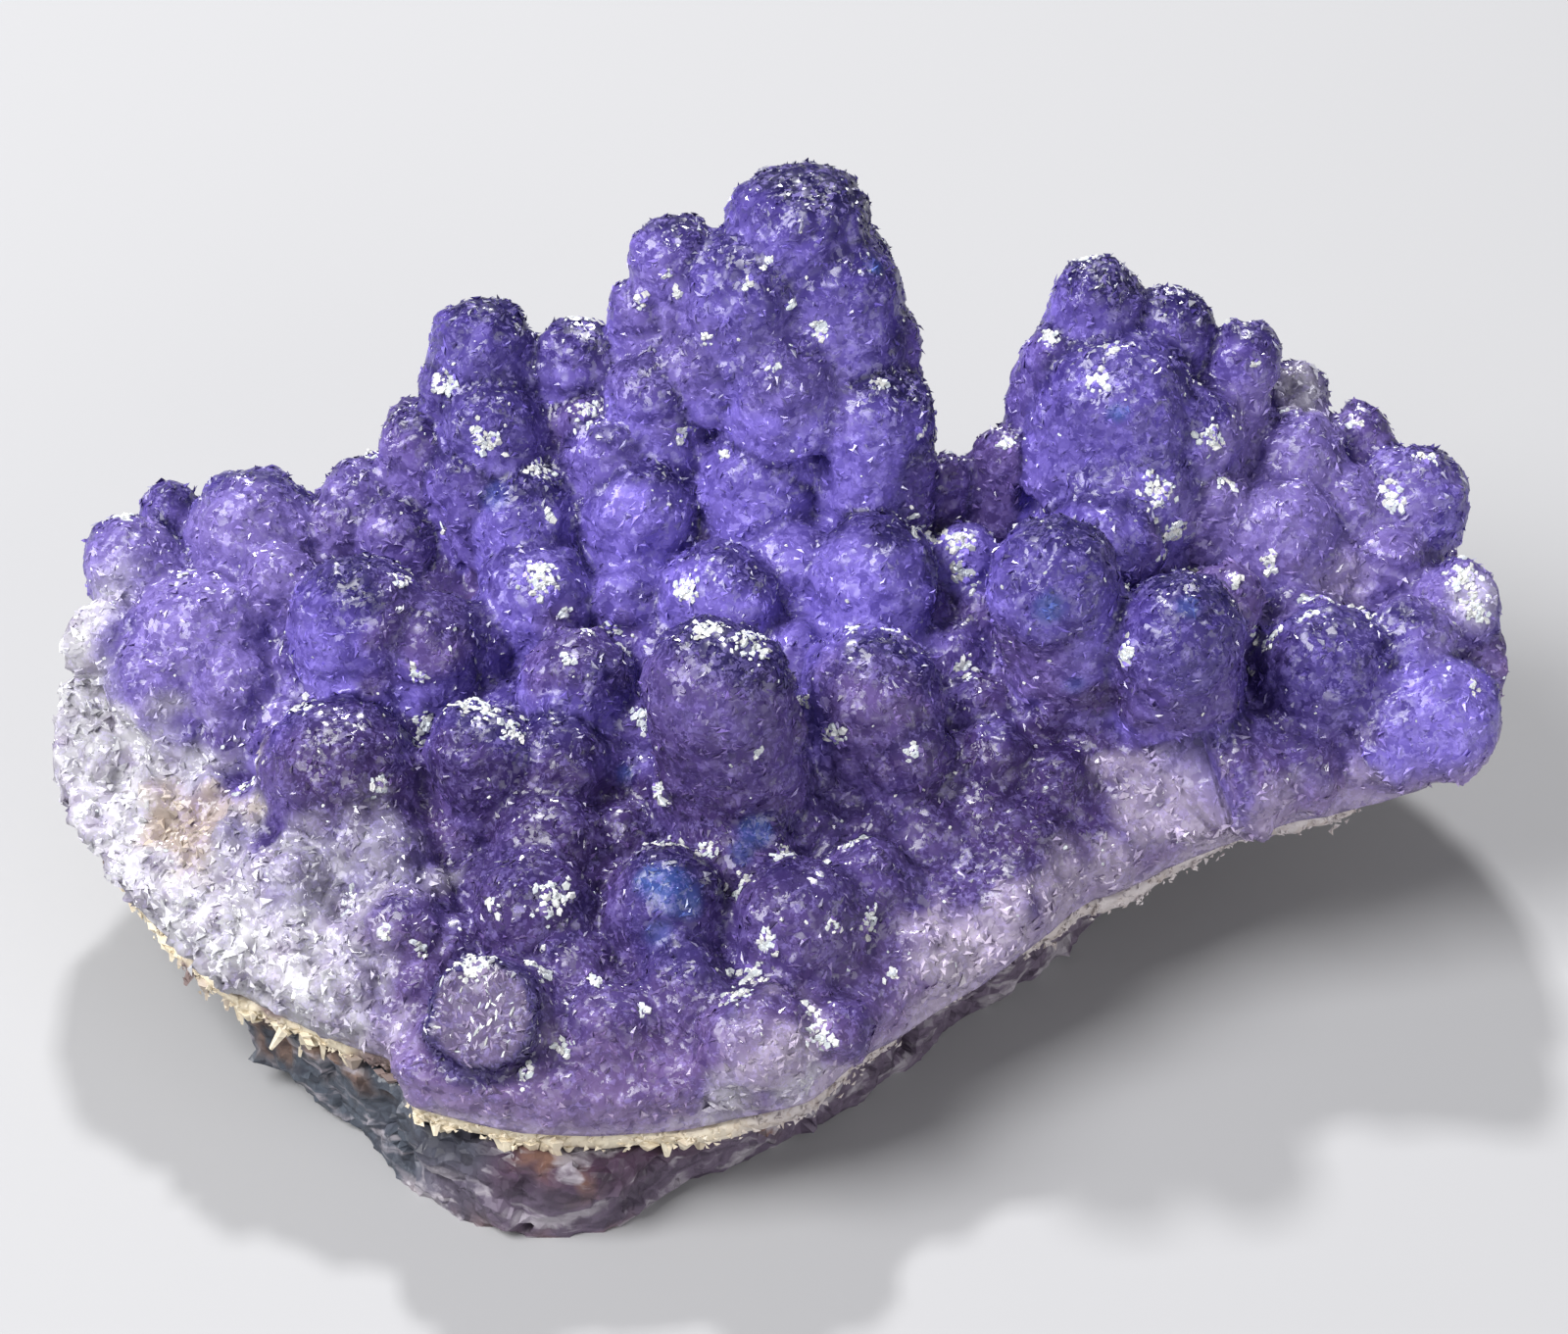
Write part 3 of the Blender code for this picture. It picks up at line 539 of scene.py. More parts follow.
def move_to(mesh, places):
    """Puts the vertices where rows of millimetres say."""
    mesh.vertices.foreach_set("co", (kept_inside(places + np.array(TO_FOOTPRINT_MIDDLE)) * MM).ravel())
    mesh.update()


def tell_triangles(made):
    """Prints how many triangles a piece has."""
    print("triangles in", made.name + ":", sum(len(face.vertices) - 2 for face in made.data.polygons))


# %% Modifiers
def apply_modifiers(made):
    """Makes the shape that an object's modifiers give it the object's own mesh."""
    graph = bpy.context.evaluated_depsgraph_get()
    shown = bpy.data.meshes.new_from_object(made.evaluated_get(graph))
    before = made.data
    made.modifiers.clear()
    made.data = shown
    bpy.data.meshes.remove(before)


def remeshed(made, voxel):
    """Melts everything into one skin of even, fine faces."""
    even = made.modifiers.new("even_faces", "REMESH")
    even.mode = "VOXEL"
    even.voxel_size = voxel * MM
    apply_modifiers(made)


def fewer(made, share):
    """Joins faces where the surface is nearly flat."""
    joined = made.modifiers.new("fewer_faces", "DECIMATE")
    joined.ratio = share
    apply_modifiers(made)


def cut(target, operation, cutter):
    """Cuts one closed mesh with another and removes the cutter."""
    boolean = target.modifiers.new(cutter.name, "BOOLEAN")
    boolean.operation = operation
    boolean.solver = "MANIFOLD"
    boolean.object = cutter
    apply_modifiers(target)
    bpy.data.objects.remove(cutter)


print("helpers:", ", ".join(helper.__name__ for helper in (remeshed, fewer, cut)))

# %% Copies of a shape
def copies_of(bm, count):
    """Doubles a shape until there are enough. Each vertex keeps the number of its copy and of its corner."""
    copy, corner = bm.verts.layers.int.new("copy"), bm.verts.layers.int.new("corner")
    for number, vert in enumerate(bm.verts):
        vert[corner] = number
    made = 1
    while made < count:
        doubled = bmesh.ops.duplicate(bm, geom=bm.verts[:] + bm.edges[:] + bm.faces[:])["geom"]
        for item in doubled:
            if isinstance(item, bmesh.types.BMVert):
                item[copy] += made
        made *= 2
    bmesh.ops.delete(bm, geom=[vert for vert in bm.verts if vert[copy] >= count], context="VERTS")
    return bm


def whole_numbers(mesh, name):
    """One whole number for each vertex, which the mesh doesn't need any longer."""
    values = np.empty(len(mesh.vertices), np.int32)
    mesh.attributes[name].data.foreach_get("value", values)
    mesh.attributes.remove(mesh.attributes[name])
    return values


def unit(rows):
    """Rows of three numbers, each brought to a length of 1."""
    return rows / np.linalg.norm(rows, axis=1)[:, None]


def sides_of(axes):
    """Two directions square to each axis, from which the spins are counted."""
    side = unit(np.cross(axes, [0.31, 0.17, 0.93]))
    return side, np.cross(axes, side)


def spins_towards(axes, directions):
    """The spins that turn each copy's X along a direction."""
    side, other = sides_of(axes)
    return np.arctan2((other * directions).sum(1), (side * directions).sum(1))


def scatter(name, shape, places, axes, sizes, spins):
    """Copies of a shape, each at its place, with its Z along its axis, in its size and turned by its spin.

    Gives the object, and the number of the copy that each vertex belongs to.
    """
    template = np.array([tuple(vert.co) for vert in shape.verts])
    mesh = mesh_of(name, copies_of(shape, len(places)))
    copy, corner = whole_numbers(mesh, "copy"), whole_numbers(mesh, "corner")
    sizes = np.broadcast_to(np.asarray(sizes, float).reshape(len(places), -1), (len(places), 3))
    side, other = sides_of(axes)
    turned = side * np.cos(spins)[:, None] + other * np.sin(spins)[:, None]
    frames = np.stack([turned, np.cross(axes, turned), axes], axis=2)
    move_to(mesh, np.einsum("nij,nj->ni", frames[copy], template[corner] * sizes[copy]) + places[copy])
    return in_scene(name, mesh), copy


trial = copies_of(cone(4, 1, 0.5, 1), 5)
print("5 copies of a column with four sides have", len(trial.verts), "points")
trial.free()

# %% Mound, balls and stems
RING_SEGMENTS = 160
FOOT_SHARE = 0.9
RING_SHARES = (1.0, 0.985, *np.linspace(0.97, 0.03, 36))
BALL_DETAIL = 4
STEM_SEGMENTS = 32
STEM_WIDE, STEM_NARROW = 1.12, 0.97

knob_tips = np.array([place for place, _, _ in knobs])
knob_radii = np.array([radius for _, radius, _ in knobs])
knob_stems = np.array([-stem for _, _, stem in knobs])
stem_lengths = np.linalg.norm(knob_stems, axis=1)
no_spin = np.zeros(len(knobs))

mound_rings = [(rim_reach, FOOT_SHARE, below_contact)]
mound_rings += [(rim_reach, share, mound_height) for share in RING_SHARES]
mound = mesh_object("mound", stack_of_rings(mound_rings, RING_SEGMENTS))
bm = bmesh.new()
bmesh.ops.create_icosphere(bm, subdivisions=BALL_DETAIL, radius=1)
upright = np.tile([0.0, 0.0, 1.0], (len(knobs), 1))
balls, _ = scatter("balls", bm, knob_tips, upright, knob_radii, no_spin)
stem = cone(STEM_SEGMENTS, STEM_NARROW, STEM_WIDE, 1, Matrix.Translation((0, 0, 0.5)))
stem_sizes = np.stack([knob_radii, knob_radii, stem_lengths], axis=1)
stems, _ = scatter("stems", stem, knob_tips, knob_stems / stem_lengths[:, None], stem_sizes, no_spin)
tell_triangles(balls)

# %% A snapped finger, and everything as one skin
CRUST_VOXEL = 0.41
# Across, up, radius and length, the way it leans from the line of sight, and how much wider its foot is
SNAPPED_FINGER = (-17.4, -21.3, 3.3, 4.2)
STUB_LEAN = Vector((-0.25, 0, 0.1))
STUB_FOOT = 1.05

across, up, stub_radius, stub_length = SNAPPED_FINGER
stub_root = sight_point(across, up, mound_height)
stub_axis = (TOWARDS_EYE + STUB_LEAN).normalized()
stub_middle = stub_root + stub_axis * stub_length
stub_foot = stub_root - stub_axis * stub_radius
column = stub_middle - stub_foot
stub_place = standing_along(column, (stub_foot + stub_middle) / 2)
stub = cone(STEM_SEGMENTS, stub_radius * STUB_FOOT, stub_radius, column.length, stub_place)
stub = mesh_object("stub", stub)

bm = bmesh.new()
for part in (mound, balls, stems, stub):
    bm.from_mesh(part.data)
    bpy.data.objects.remove(part)
crust = in_scene("violet_crust", mesh_of("violet_crust", bm))
remeshed(crust, CRUST_VOXEL)
tell_triangles(crust)

# %% Knobs that have grown into each other, low in front: across, up and reach
MERGED_PLACES = (
    (-9.0, -22.0, 5.5), (-2.0, -20.6, 6.0), (4.0, -19.4, 6.0), (9.5, -16.0, 5.5), (14.5, -12.5, 5.0),
    (-10.5, -16.5, 4.0), (1.5, -13.0, 4.0), (27.5, -7.5, 4.5), (-27.0, -13.5, 5.0), (-33.0, -14.0, 6.0),
)
# Fully merged within half the reach, and not at all past 4/3 of it
MERGED_MIDDLE, MERGED_FALL = 1.6, 1.2
MERGED_ROUNDS, MERGED_STEP = 22, 0.6


def distances(places, point):
    """How far each place is from a point."""
    return np.sqrt(((places - np.array(point)) ** 2).sum(1))


def evened_out(mesh, places, shares, rounds):
    """Moves each point towards its neighbours' middle, time after time, which fills the valleys."""
    ends = np.empty(2 * len(mesh.edges), np.int32)
    mesh.edges.foreach_get("vertices", ends)
    first, second = ends[0::2], ends[1::2]
    number = len(places)
    links = np.maximum(np.bincount(first, minlength=number) + np.bincount(second, minlength=number), 1)
    for _ in range(rounds):
        for axis in range(3):
            value = places[:, axis]
            total = np.bincount(first, value[second], number) + np.bincount(second, value[first], number)
            places[:, axis] = value + shares * (total / links - value)
    return places


places = places_of(crust.data)
merged = np.zeros(len(places))
for across, up, reach in MERGED_PLACES:
    away = distances(places, sight_point(across, up, mound_height))
    merged = np.maximum(merged, np.clip(MERGED_MIDDLE - MERGED_FALL * away / reach, 0, 1))
move_to(crust.data, evened_out(crust.data, places, MERGED_STEP * merged, MERGED_ROUNDS))
print(int((merged > 0.5).sum()), "points of the skin are evened out")

# %% [markdown]
# ## Which knob a point belongs to
#
# Colour and texture follow the knobs: their tops are frosted, their middles are darkest and their lower
# sides glow; the dark and the glow are painted shade and painted light. So every vertex finds its knob. A
# knob with its stem is a capsule, and the vertex belongs to the one whose surface is nearest. The next
# nearest tells how close a crease is.

# %% Nearest knob
POINTS_AT_ONCE = 4000


def nearest_of_few(points):
    """The knob of each point, how far off its surface is, how much farther the next is, and the way out."""
    away = points[:, None, :] - knob_tips
    along = np.clip((away * knob_stems).sum(2) / (knob_stems**2).sum(1), 0, 1)
    away -= along[:, :, None] * knob_stems
    far = np.sqrt((away**2).sum(2))
    level = far - knob_radii
    rows = np.arange(len(level))
    order = np.argpartition(level, 1, axis=1)[:, :2]
    two = level[rows[:, None], order]
    first = np.where(two[:, 0] <= two[:, 1], 0, 1)
    nearest = order[rows, first]
    off = two[rows, first]
    way_out = away[rows, nearest] / np.maximum(far[rows, nearest], 1e-9)[:, None]
    return nearest, off, two[rows, 1 - first] - off, way_out


def nearest_knobs(points):
    """The same for any number of points, worked out in parts that the memory can hold."""
    starts = range(0, len(points), POINTS_AT_ONCE)
    parts = [nearest_of_few(points[start : start + POINTS_AT_ONCE]) for start in starts]
    return [np.concatenate(values) for values in zip(*parts)]


print("a point on the summit belongs to knob", int(nearest_knobs(knob_tips[:1] + [[0, 0, 4.0]])[0][0]))

# %% [markdown]
# ## Crumpled skin
#
# Real knobs aren't smooth balls. Their skin is built of crystals that overlap like crumpled foil. Larger
# folds are moved into the mesh here, along the normal. The finest ones are left to small crystals that are
# laid on it later, and to the material.

# %% Crumple the skin
WARP_LENGTH, WARP_DEPTH = 5.5, 0.35
# Each kind of fold: its length, its depth, and where in the noise it is read
FOLDS = ((1.9, 0.60, Vector((0, 0, 0))), (0.95, 0.32, Vector((9, 0, 0))))
FOLD_MIDDLE = 0.2
KEPT_ABOVE_CONTACT = 1.0
# The break at the end of the snapped finger stays nearly flat
LEFT_ON_BREAK = 0.2


def above_contact(places):
    """How far each place stands above the contact surface."""
    return places[:, 2] - contact_height(places[:, 0], places[:, 1], np)


def folds(point):
    """Ridges with sharp valleys between them, about 0 on average."""
    return sum(
        depth * (abs(noise.noise(point / length + shift)) - FOLD_MIDDLE) for length, depth, shift in FOLDS
    )


def crumple(mesh):
    """Moves the points of the crust, less and less towards the contact surface."""
    places, normals = places_of(mesh), normals_of(mesh)
    moved = places.copy()
    from_end = distances(places, stub_middle) / stub_radius
    free = np.clip(above_contact(places) / KEPT_ABOVE_CONTACT, 0, 1) * np.clip(from_end, LEFT_ON_BREAK, 1)
    for i in np.nonzero(free)[0]:
        point = Vector(places[i])
        warp = chance_at(point / WARP_LENGTH) * WARP_DEPTH
        moved[i] += free[i] * (np.array(warp) + normals[i] * folds(point))
    move_to(mesh, moved)
    return moved


crumpled_places = crumple(crust.data)
print("the highest point is at", round(float(crumpled_places[:, 2].max()), 2), "mm")

# %% Cut the crust to the contact surface
CONTACT_CELL = 2.0
HALF_X, HALF_Y = 54.0, 42.0
# Where a flake has split off: name, across, up, how deep, the way the face looks and half its size
FLAKES = (
    ("right_flake", 23.6, -8.3, 0.9, Vector((0.30, -0.66, 0.69)), 3.6),
    ("front_flake", 10.2, -18.2, 0.8, Vector((0.34, -0.60, 0.72)), 3.0),
)


def contact_block(name, offset):
    """A block whose top is the contact surface, raised by offset."""
    bm = bmesh.new()
    bmesh.ops.create_grid(
        bm,
        x_segments=int(2 * HALF_X / CONTACT_CELL),
        y_segments=int(2 * HALF_Y / CONTACT_CELL),
        size=1,
        matrix=Matrix.Diagonal((HALF_X, HALF_Y, 1, 1)),
    )
    for vert in bm.verts:
        vert.co.z = contact_height(vert.co.x, vert.co.y) + offset
    for item in bmesh.ops.extrude_face_region(bm, geom=list(bm.faces))["geom"]:
        if isinstance(item, bmesh.types.BMVert):
            item.co.z = BELOW_ALL
    return mesh_object(name, bm)


def block_with_face(name, point, facing, size):
    """A block whose one side is the face that a flake leaves."""
    bm = bmesh.new()
    place = standing_along(facing, point + facing.normalized() * size)
    bmesh.ops.create_cube(bm, size=2 * size, matrix=place)
    return mesh_object(name, bm)


cut(crust, "DIFFERENCE", contact_block("under_crust", GAP / 2))
for name, across, up, depth, facing, size in FLAKES:
    face = sight_point(across, up, mound_height, SMALL_RADIUS) - facing * depth
    cut(crust, "DIFFERENCE", block_with_face(name, face, facing, size))
crust.data.shade_smooth()
tell_triangles(crust)

# %% [markdown]
# ## Colour from the knobs
#
# The colour is partly the fluorite's own and partly painted light and shade. The knobs are deep indigo in
# the middle, greyed and frosted on top, darkened on top and on their far side by painted shade, and a
# lighter blue-violet on the lower side, painted as light that comes through. The low ground between them is
# mauve.
# The broken left side is nearly colourless. All of this is worked out for each vertex and kept as colour
# and mask attributes, which the materials read.

# %% Colours
# The darkest violet is painted shade, for the tops and far sides of the knobs and round the snapped end
PAINTED_SHADE = (0.020, 0.014, 0.095)
VIOLET = (0.110, 0.078, 0.345)
INDIGO = (0.200, 0.150, 0.560)
INK = (0.085, 0.062, 0.270)
# This blue-violet is painted light, where light seems to come through a knob
GLOW = (0.285, 0.220, 0.720)
MAUVE = (0.188, 0.120, 0.285)
DUSKY = (0.074, 0.042, 0.150)
PLUM = (0.120, 0.077, 0.235)
LAVENDER = (0.285, 0.220, 0.540)
LILAC = (0.380, 0.285, 0.460)
PALE_LILAC = (0.550, 0.480, 0.590)
GREY_LILAC = (0.380, 0.340, 0.430)
STUB_GREY = (0.185, 0.146, 0.242)
COLOURLESS = (0.700, 0.700, 0.715)
SKY = (0.062, 0.122, 0.385)
PEACH = (0.480, 0.395, 0.310)
# A painted glint: the white that bright crystal faces reflect, put into their colour
PAINTED_GLINT = (0.850, 0.880, 0.870)


def mixed(below, above, share):
    """Between two colours, for a share or an array of shares."""
    share = np.clip(np.asarray(share, float), 0, 1)[..., None]
    return np.asarray(below) * (1 - share) + np.asarray(above) * share


def smooth(low, high, value):
    """0 below low, 1 above high and an even step between them."""
    t = np.clip((value - low) / (high - low), 0, 1)
    return t * t * (3 - 2 * t)


def noise_at(points, length, seed=0.0):
    """Soft noise from -1 to 1 at each point, with lumps of the given length."""
    shift = Vector((seed * 13.7, seed * 5.1, seed * 9.3))
    return np.array([noise.noise(Vector(point) / length + shift) for point in points])


print("a mix of deep and glow:", mixed(PAINTED_SHADE, GLOW, 0.5).round(2))

# %% Places for the colours deep inside: across, up, reach and strength
# The glowing places are painted light that comes through the knobs
GLOW_PLACES = (
    (-9.0, 7.5, 4.4, 1.0), (-9.3, 9.2, 3.0, 1.0), (-1.5, 8.4, 3.9, 0.84), (3.6, 4.2, 5.7, 0.90),
    (-5.5, 4.6, 4.4, 0.78), (-15.0, 4.8, 4.2, 0.54), (4.2, 12.4, 3.9, 0.54), (-3.5, 12.0, 3.9, 0.48),
    (11.6, 6.6, 3.1, 0.72), (21.0, 17.0, 4.7, 0.40), (40.5, -3.4, 5.7, 0.84), (36.5, -5.0, 3.9, 0.60),
    (-10.5, 12.4, 3.4, 0.48), (21.5, 11.0, 5.2, 0.42),
)
LAVENDER_PLACES = (
    (-33.0, 6.4, 6.5, 0.84), (-36.0, 1.4, 7.0, 0.84), (-40.0, 6.0, 5.2, 0.84), (-26.0, 9.6, 3.9, 0.48),
    (30.4, 9.0, 6.8, 0.90), (31.4, 13.6, 5.7, 0.90), (36.6, 6.4, 5.2, 0.72), (37.5, 11.5, 4.7, 0.54),
    (-7.0, 19.5, 4.4, 0.48), (0.6, 18.6, 4.2, 0.48), (41.5, 4.0, 4.2, 0.84),
)
MAUVE_PLACES = (
    (-21.5, 3.0, 4.4, 0.60), (-13.0, 1.6, 3.9, 0.60), (6.0, -2.0, 4.7, 0.60), (14.6, 0.0, 4.4, 0.60),
    (27.0, 5.0, 4.4, 0.60), (0.6, -23.6, 5.7, 0.84), (-9.0, -25.0, 6.5, 0.95), (-17.5, -26.0, 5.2, 0.95),
    (8.0, -20.0, 5.2, 0.84), (-24.6, -17.8, 4.4, 0.72), (31.5, -6.4, 4.7, 0.72), (-22.5, -8.6, 3.9, 0.48),
)
PLUM_PLACES = (
    (-5.6, -7.0, 6.0, 0.72), (3.6, -16.6, 7.0, 0.72), (5.6, -6.5, 4.4, 0.60), (24.0, -2.0, 6.0, 0.60),
    (-8.4, -19.0, 5.2, 0.72), (32.4, -1.4, 5.2, 0.42), (-26.4, -6.0, 5.7, 0.60), (11.4, -11.0, 5.7, 0.72),
)
INK_PLACES = (
    (16.2, 4.5, 4.5, 0.70), (24.6, 1.0, 4.5, 0.80), (32.4, -1.2, 4.5, 0.70), (-18.6, 17.0, 5.0, 0.60),
    (-18.6, -6.6, 4.5, 0.80), (-1.2, 21.0, 5.5, 0.35), (-7.2, -15.4, 4.0, 0.70), (19.5, 14.0, 5.0, 0.30),
)
DUSKY_PLACES = (
    (-12.8, -9.6, 6.2, 0.95), (-27.2, -6.2, 4.6, 0.92), (16.8, -7.4, 6.8, 0.90), (-3.6, -11.6, 4.7, 0.60),
    (-17.0, -14.2, 4.7, 0.72), (10.4, -6.6, 3.9, 0.72), (-19.0, -7.6, 3.4, 0.72), (14.8, -11.6, 4.7, 0.60),
)
# Each colour with its places, and how much of the painted shade on the knobs' caps it hides
BODY_COLOURS = (
    (GLOW, GLOW_PLACES, 0.7), (LAVENDER, LAVENDER_PLACES, 0.85), (MAUVE, MAUVE_PLACES, 0.6),
    (PLUM, PLUM_PLACES, 0.35), (INK, INK_PLACES, 0.3), (DUSKY, DUSKY_PLACES, 0.5),
)
print(sum(len(places) for _, places, _ in BODY_COLOURS), "places have a colour of their own")

# %% Places for what lies near the surface: across, up, reach and strength
WHITE_PLACES = (
    (-44.8, -5.4, 2.6, 1.0), (-43.6, -8.8, 2.8, 1.0), (-43.6, 0.0, 3.0, 1.0), (-42.6, -4.0, 4.0, 1.0),
    (-40.0, -6.8, 4.2, 1.0), (-36.8, -6.4, 3.0, 0.85), (-36.5, -12.0, 4.2, 0.9), (-34.5, -15.5, 4.2, 0.9),
    (-31.0, -18.0, 4.4, 0.85), (-28.0, -21.0, 3.8, 0.85), (-27.5, -16.0, 4.4, 0.6), (-25.5, -12.0, 3.6, 0.4),
    (-29.5, -12.5, 3.6, 0.6), (-39.5, -9.5, 3.6, 1.0), (31.6, 17.2, 2.4, 0.7), (42.3, 4.2, 2.2, 0.5),
    (-3.5, -26.6, 2.4, 0.7), (0.5, -25.9, 2.2, 0.7),
)
PEACH_PLACES = ((-36.5, -10.0, 3.0, 0.9), (-38.0, -7.6, 1.6, 0.6))
LILAC_PLACES = (
    (23.4, -8.6, 3.6, 0.75), (26.4, -10.4, 3.0, 0.8), (10.8, -18.2, 3.6, 1.0), (0.0, -24.4, 3.2, 0.8),
    (-2.2, -22.6, 2.0, 0.4), (17.0, -14.0, 2.8, 0.7), (2.6, -25.6, 3.0, 0.85), (36.0, -6.6, 1.8, 0.5),
    (13.6, -16.4, 2.6, 0.8), (-17.6, -21.4, 3.0, 0.35), (34.0, 4.6, 2.4, 0.4), (-3.0, -26.8, 2.6, 0.6),
    (9.0, -20.6, 2.6, 0.8), (29.8, -9.0, 2.4, 0.5), (20.0, -12.4, 2.6, 0.7),
)
FROST_PLACES = (
    (24.0, 20.0, 5.0, 0.8), (-25.5, 7.5, 5.0, 1.0), (-4.2, 4.8, 4.5, 1.0), (15.6, 13.4, 4.0, 0.7),
    (24.0, 10.6, 4.0, 0.8), (32.4, 7.0, 4.0, 0.7), (-18.0, -16.8, 4.0, 0.9), (-13.0, 0.0, 3.0, 0.4),
    (6.0, 0.5, 3.5, 0.5), (38.0, 11.0, 3.0, 0.5),
)
SKY_PLACES = (
    (-7.2, -13.2, 1.8, 0.85), (-7.6, -16.2, 1.0, 0.5), (16.2, 3.5, 1.3, 0.7), (-1.8, -10.2, 1.0, 0.7),
    (20.4, 15.5, 0.9, 0.8), (5.5, 24.5, 0.7, 0.8), (-17.5, 10.6, 1.1, 0.5), (-9.8, -6.3, 0.7, 0.6),
    (17.8, -1.0, 0.8, 0.5), (-2.6, -11.4, 0.9, 0.6), (24.8, 3.6, 0.8, 0.5),
)


def tree_of(mesh):
    """Finds where a line meets a mesh, or its nearest point, in millimetres."""
    corners = [tuple(place) for place in places_of(mesh)]
    return BVHTree.FromPolygons(corners, [tuple(face.vertices) for face in mesh.polygons])


def seen_on_crust(across, up):
    """Where a line of sight meets the crust, or None if it passes close by."""
    return crust_tree.ray_cast(EYE, (on_picture(across, up) - EYE).normalized())[0]


crust_tree = tree_of(crust.data)
print("the picture's middle shows the crust at", [round(value, 1) for value in seen_on_crust(0.0, 0.0)])

# %% What each point of the crust is like
# The way that the side of every knob with painted shade faces, away from the light
SHADED_SIDE = np.array(Vector((0.35, 0.45, 0.82)).normalized())
# The lumps of three noises: slow changes, patches, and the edges of places
WANDER_LENGTH, PATCH_LENGTH, EDGE_LENGTH = 3.4, 1.3, 2.2
EDGE_UNEVENNESS = 0.7
# From where to where, in reaches, a patch fades out
PATCH_EDGE = (1.2, 0.5)
# From where to where a knob counts as large, by its radius, and as a finger, by its stem in radii
LARGE_KNOB, FINGER = (1.6, 3.4), (0.9, 1.7)

crust_places = places_of(crust.data)
crust_above = above_contact(crust_places)
own_knob, off_knob, crease, way_out = nearest_knobs(crust_places)
own_chance = np.random.default_rng(5).uniform(-1, 1, (len(knobs), 3))[own_knob]
rise = way_out @ SHADED_SIDE
wander = noise_at(crust_places, WANDER_LENGTH, 1.0)
patchy = noise_at(crust_places, PATCH_LENGTH, 2.0)
uneven = 1 + EDGE_UNEVENNESS * noise_at(crust_places, EDGE_LENGTH, 4.0)
large = smooth(*LARGE_KNOB, knob_radii[own_knob])
stands = 0.6 + 0.4 * smooth(*FINGER, (stem_lengths / knob_radii)[own_knob])


def patch_mask(table):
    """How much each point is in one of the places of a table, with uneven edges."""
    mask = np.zeros(len(crust_places))
    for across, up, reach, strength in table:
        place = seen_on_crust(across, up)
        if place is not None:
            away = distances(crust_places, place) / reach
            mask = np.maximum(mask, strength * smooth(*PATCH_EDGE, away * uneven))
    return mask


print(int((patch_mask(WHITE_PLACES) > 0.5).sum()), "points lie in white places")

# %% Colours deep inside, and painted light through the knobs
# Where each change begins and ends: round a knob, off it, towards the back and above the contact surface
LIT_SIDE, UNDERSIDE, OFF_KNOBS = (-0.75, 0.35), (0.1, -0.5), (0.2, 1.3)
BEHIND_FRONT_WALL, FRONT_SLOPE = (-14.0, -7.0), (-3.0, -11.0)
LOW_DOWN, AT_THE_SEAM = (4.6, 1.6), (2.0, 0.5)

# Painted light: the body is lighter on its lower side, as though light came through it
tint = mixed(INDIGO, VIOLET, smooth(*LIT_SIDE, rise + 0.25 * wander) + 0.25 * own_chance[:, 1])
glow = 0.7 * large * smooth(*UNDERSIDE, rise + 0.2 * wander)
tint = mixed(tint, GLOW, glow * smooth(*BEHIND_FRONT_WALL, crust_places[:, 1]))
between = (1 - large) * (0.45 + 0.3 * own_chance[:, 2]) + smooth(*OFF_KNOBS, off_knob) * 0.4
tint = mixed(tint, MAUVE, between)
tint = mixed(tint, PLUM, 0.75 * smooth(*FRONT_SLOPE, crust_places[:, 1] + 2.5 * wander))
calm = np.zeros(len(crust_places))
for colour, table, hides in BODY_COLOURS:
    mask = patch_mask(table)
    tint = mixed(tint, colour, mask)
    calm = np.maximum(calm, hides * mask)
tint = mixed(tint, LILAC, 0.70 * smooth(*LOW_DOWN, crust_above + 0.8 * wander))
tint = mixed(tint, PALE_LILAC, 0.8 * smooth(*AT_THE_SEAM, crust_above + patchy))
print("mean tint deep inside:", tint.mean(0).round(3))

# %% Dark caps of painted shade, and pale places
RIM_BAND, LEFT_SIDE, LEFT_FRONT = (0.88, 0.94), (-22.0, -28.0), (7.0, 3.0)
# Where the painted shade lies: on the cap, on the far side, in a crease, and clear of the contact surface
CAP, FAR_SIDE, IN_CREASE, CLEAR_OF_CONTACT = (0.16, 0.74), (-0.7, 0.1), (0.8, 0.15), (1.6, 3.4)

rim_band = smooth(*RIM_BAND, np.array([rim_share(Vector(place)) for place in crust_places]))
left_rim = rim_band * smooth(*LEFT_SIDE, crust_places[:, 0]) * smooth(*LEFT_FRONT, crust_places[:, 1])
white = np.maximum(patch_mask(WHITE_PLACES), left_rim)
lilac = patch_mask(LILAC_PLACES)
# Painted shade: the cap is dark, and so is a thin line in the crease round the far side of a knob
cap = smooth(*CAP, rise + 0.25 * patchy + 0.15 * own_chance[:, 0]) * (0.45 + 0.55 * large) * stands
line = smooth(*IN_CREASE, crease) * smooth(*FAR_SIDE, rise) * smooth(*CLEAR_OF_CONTACT, crust_above) * stands
coloured = (1 - np.maximum(white, lilac)) * (1 - calm)
tint = mixed(tint, PAINTED_SHADE, np.maximum(0.94 * cap, 0.85 * line) * coloured)
tint = mixed(tint, PALE_LILAC, lilac)
tint = mixed(tint, mixed(GREY_LILAC, COLOURLESS, 0.8 + 1.1 * patchy), white)
tint = mixed(tint, PEACH, patch_mask(PEACH_PLACES))
tint = mixed(tint, SKY, patch_mask(SKY_PLACES))
print("mean tint of the crust:", tint.mean(0).round(3))

# %% The snapped end, and frost
# Across the end in its radii, and along its axis in millimetres
INSIDE_END, RING_INNER, RING_OUTER = (0.95, 0.85), (0.8, 0.95), (1.4, 1.15)
RING_DEPTH, END_DEPTH = (-3.0, -1.2), (-1.8, -0.8)
# From where to where frost begins on a knob, and how far back all of them are frosted
FROSTED, ALL_FROST_BEHIND = (0.15, 0.75), (4.0, 12.0)

from_end = crust_places - np.array(stub_middle)
along = from_end @ np.array(stub_axis)
aside = np.sqrt(np.maximum((from_end**2).sum(1) - along**2, 0)) / stub_radius * (1 + 0.15 * wander)
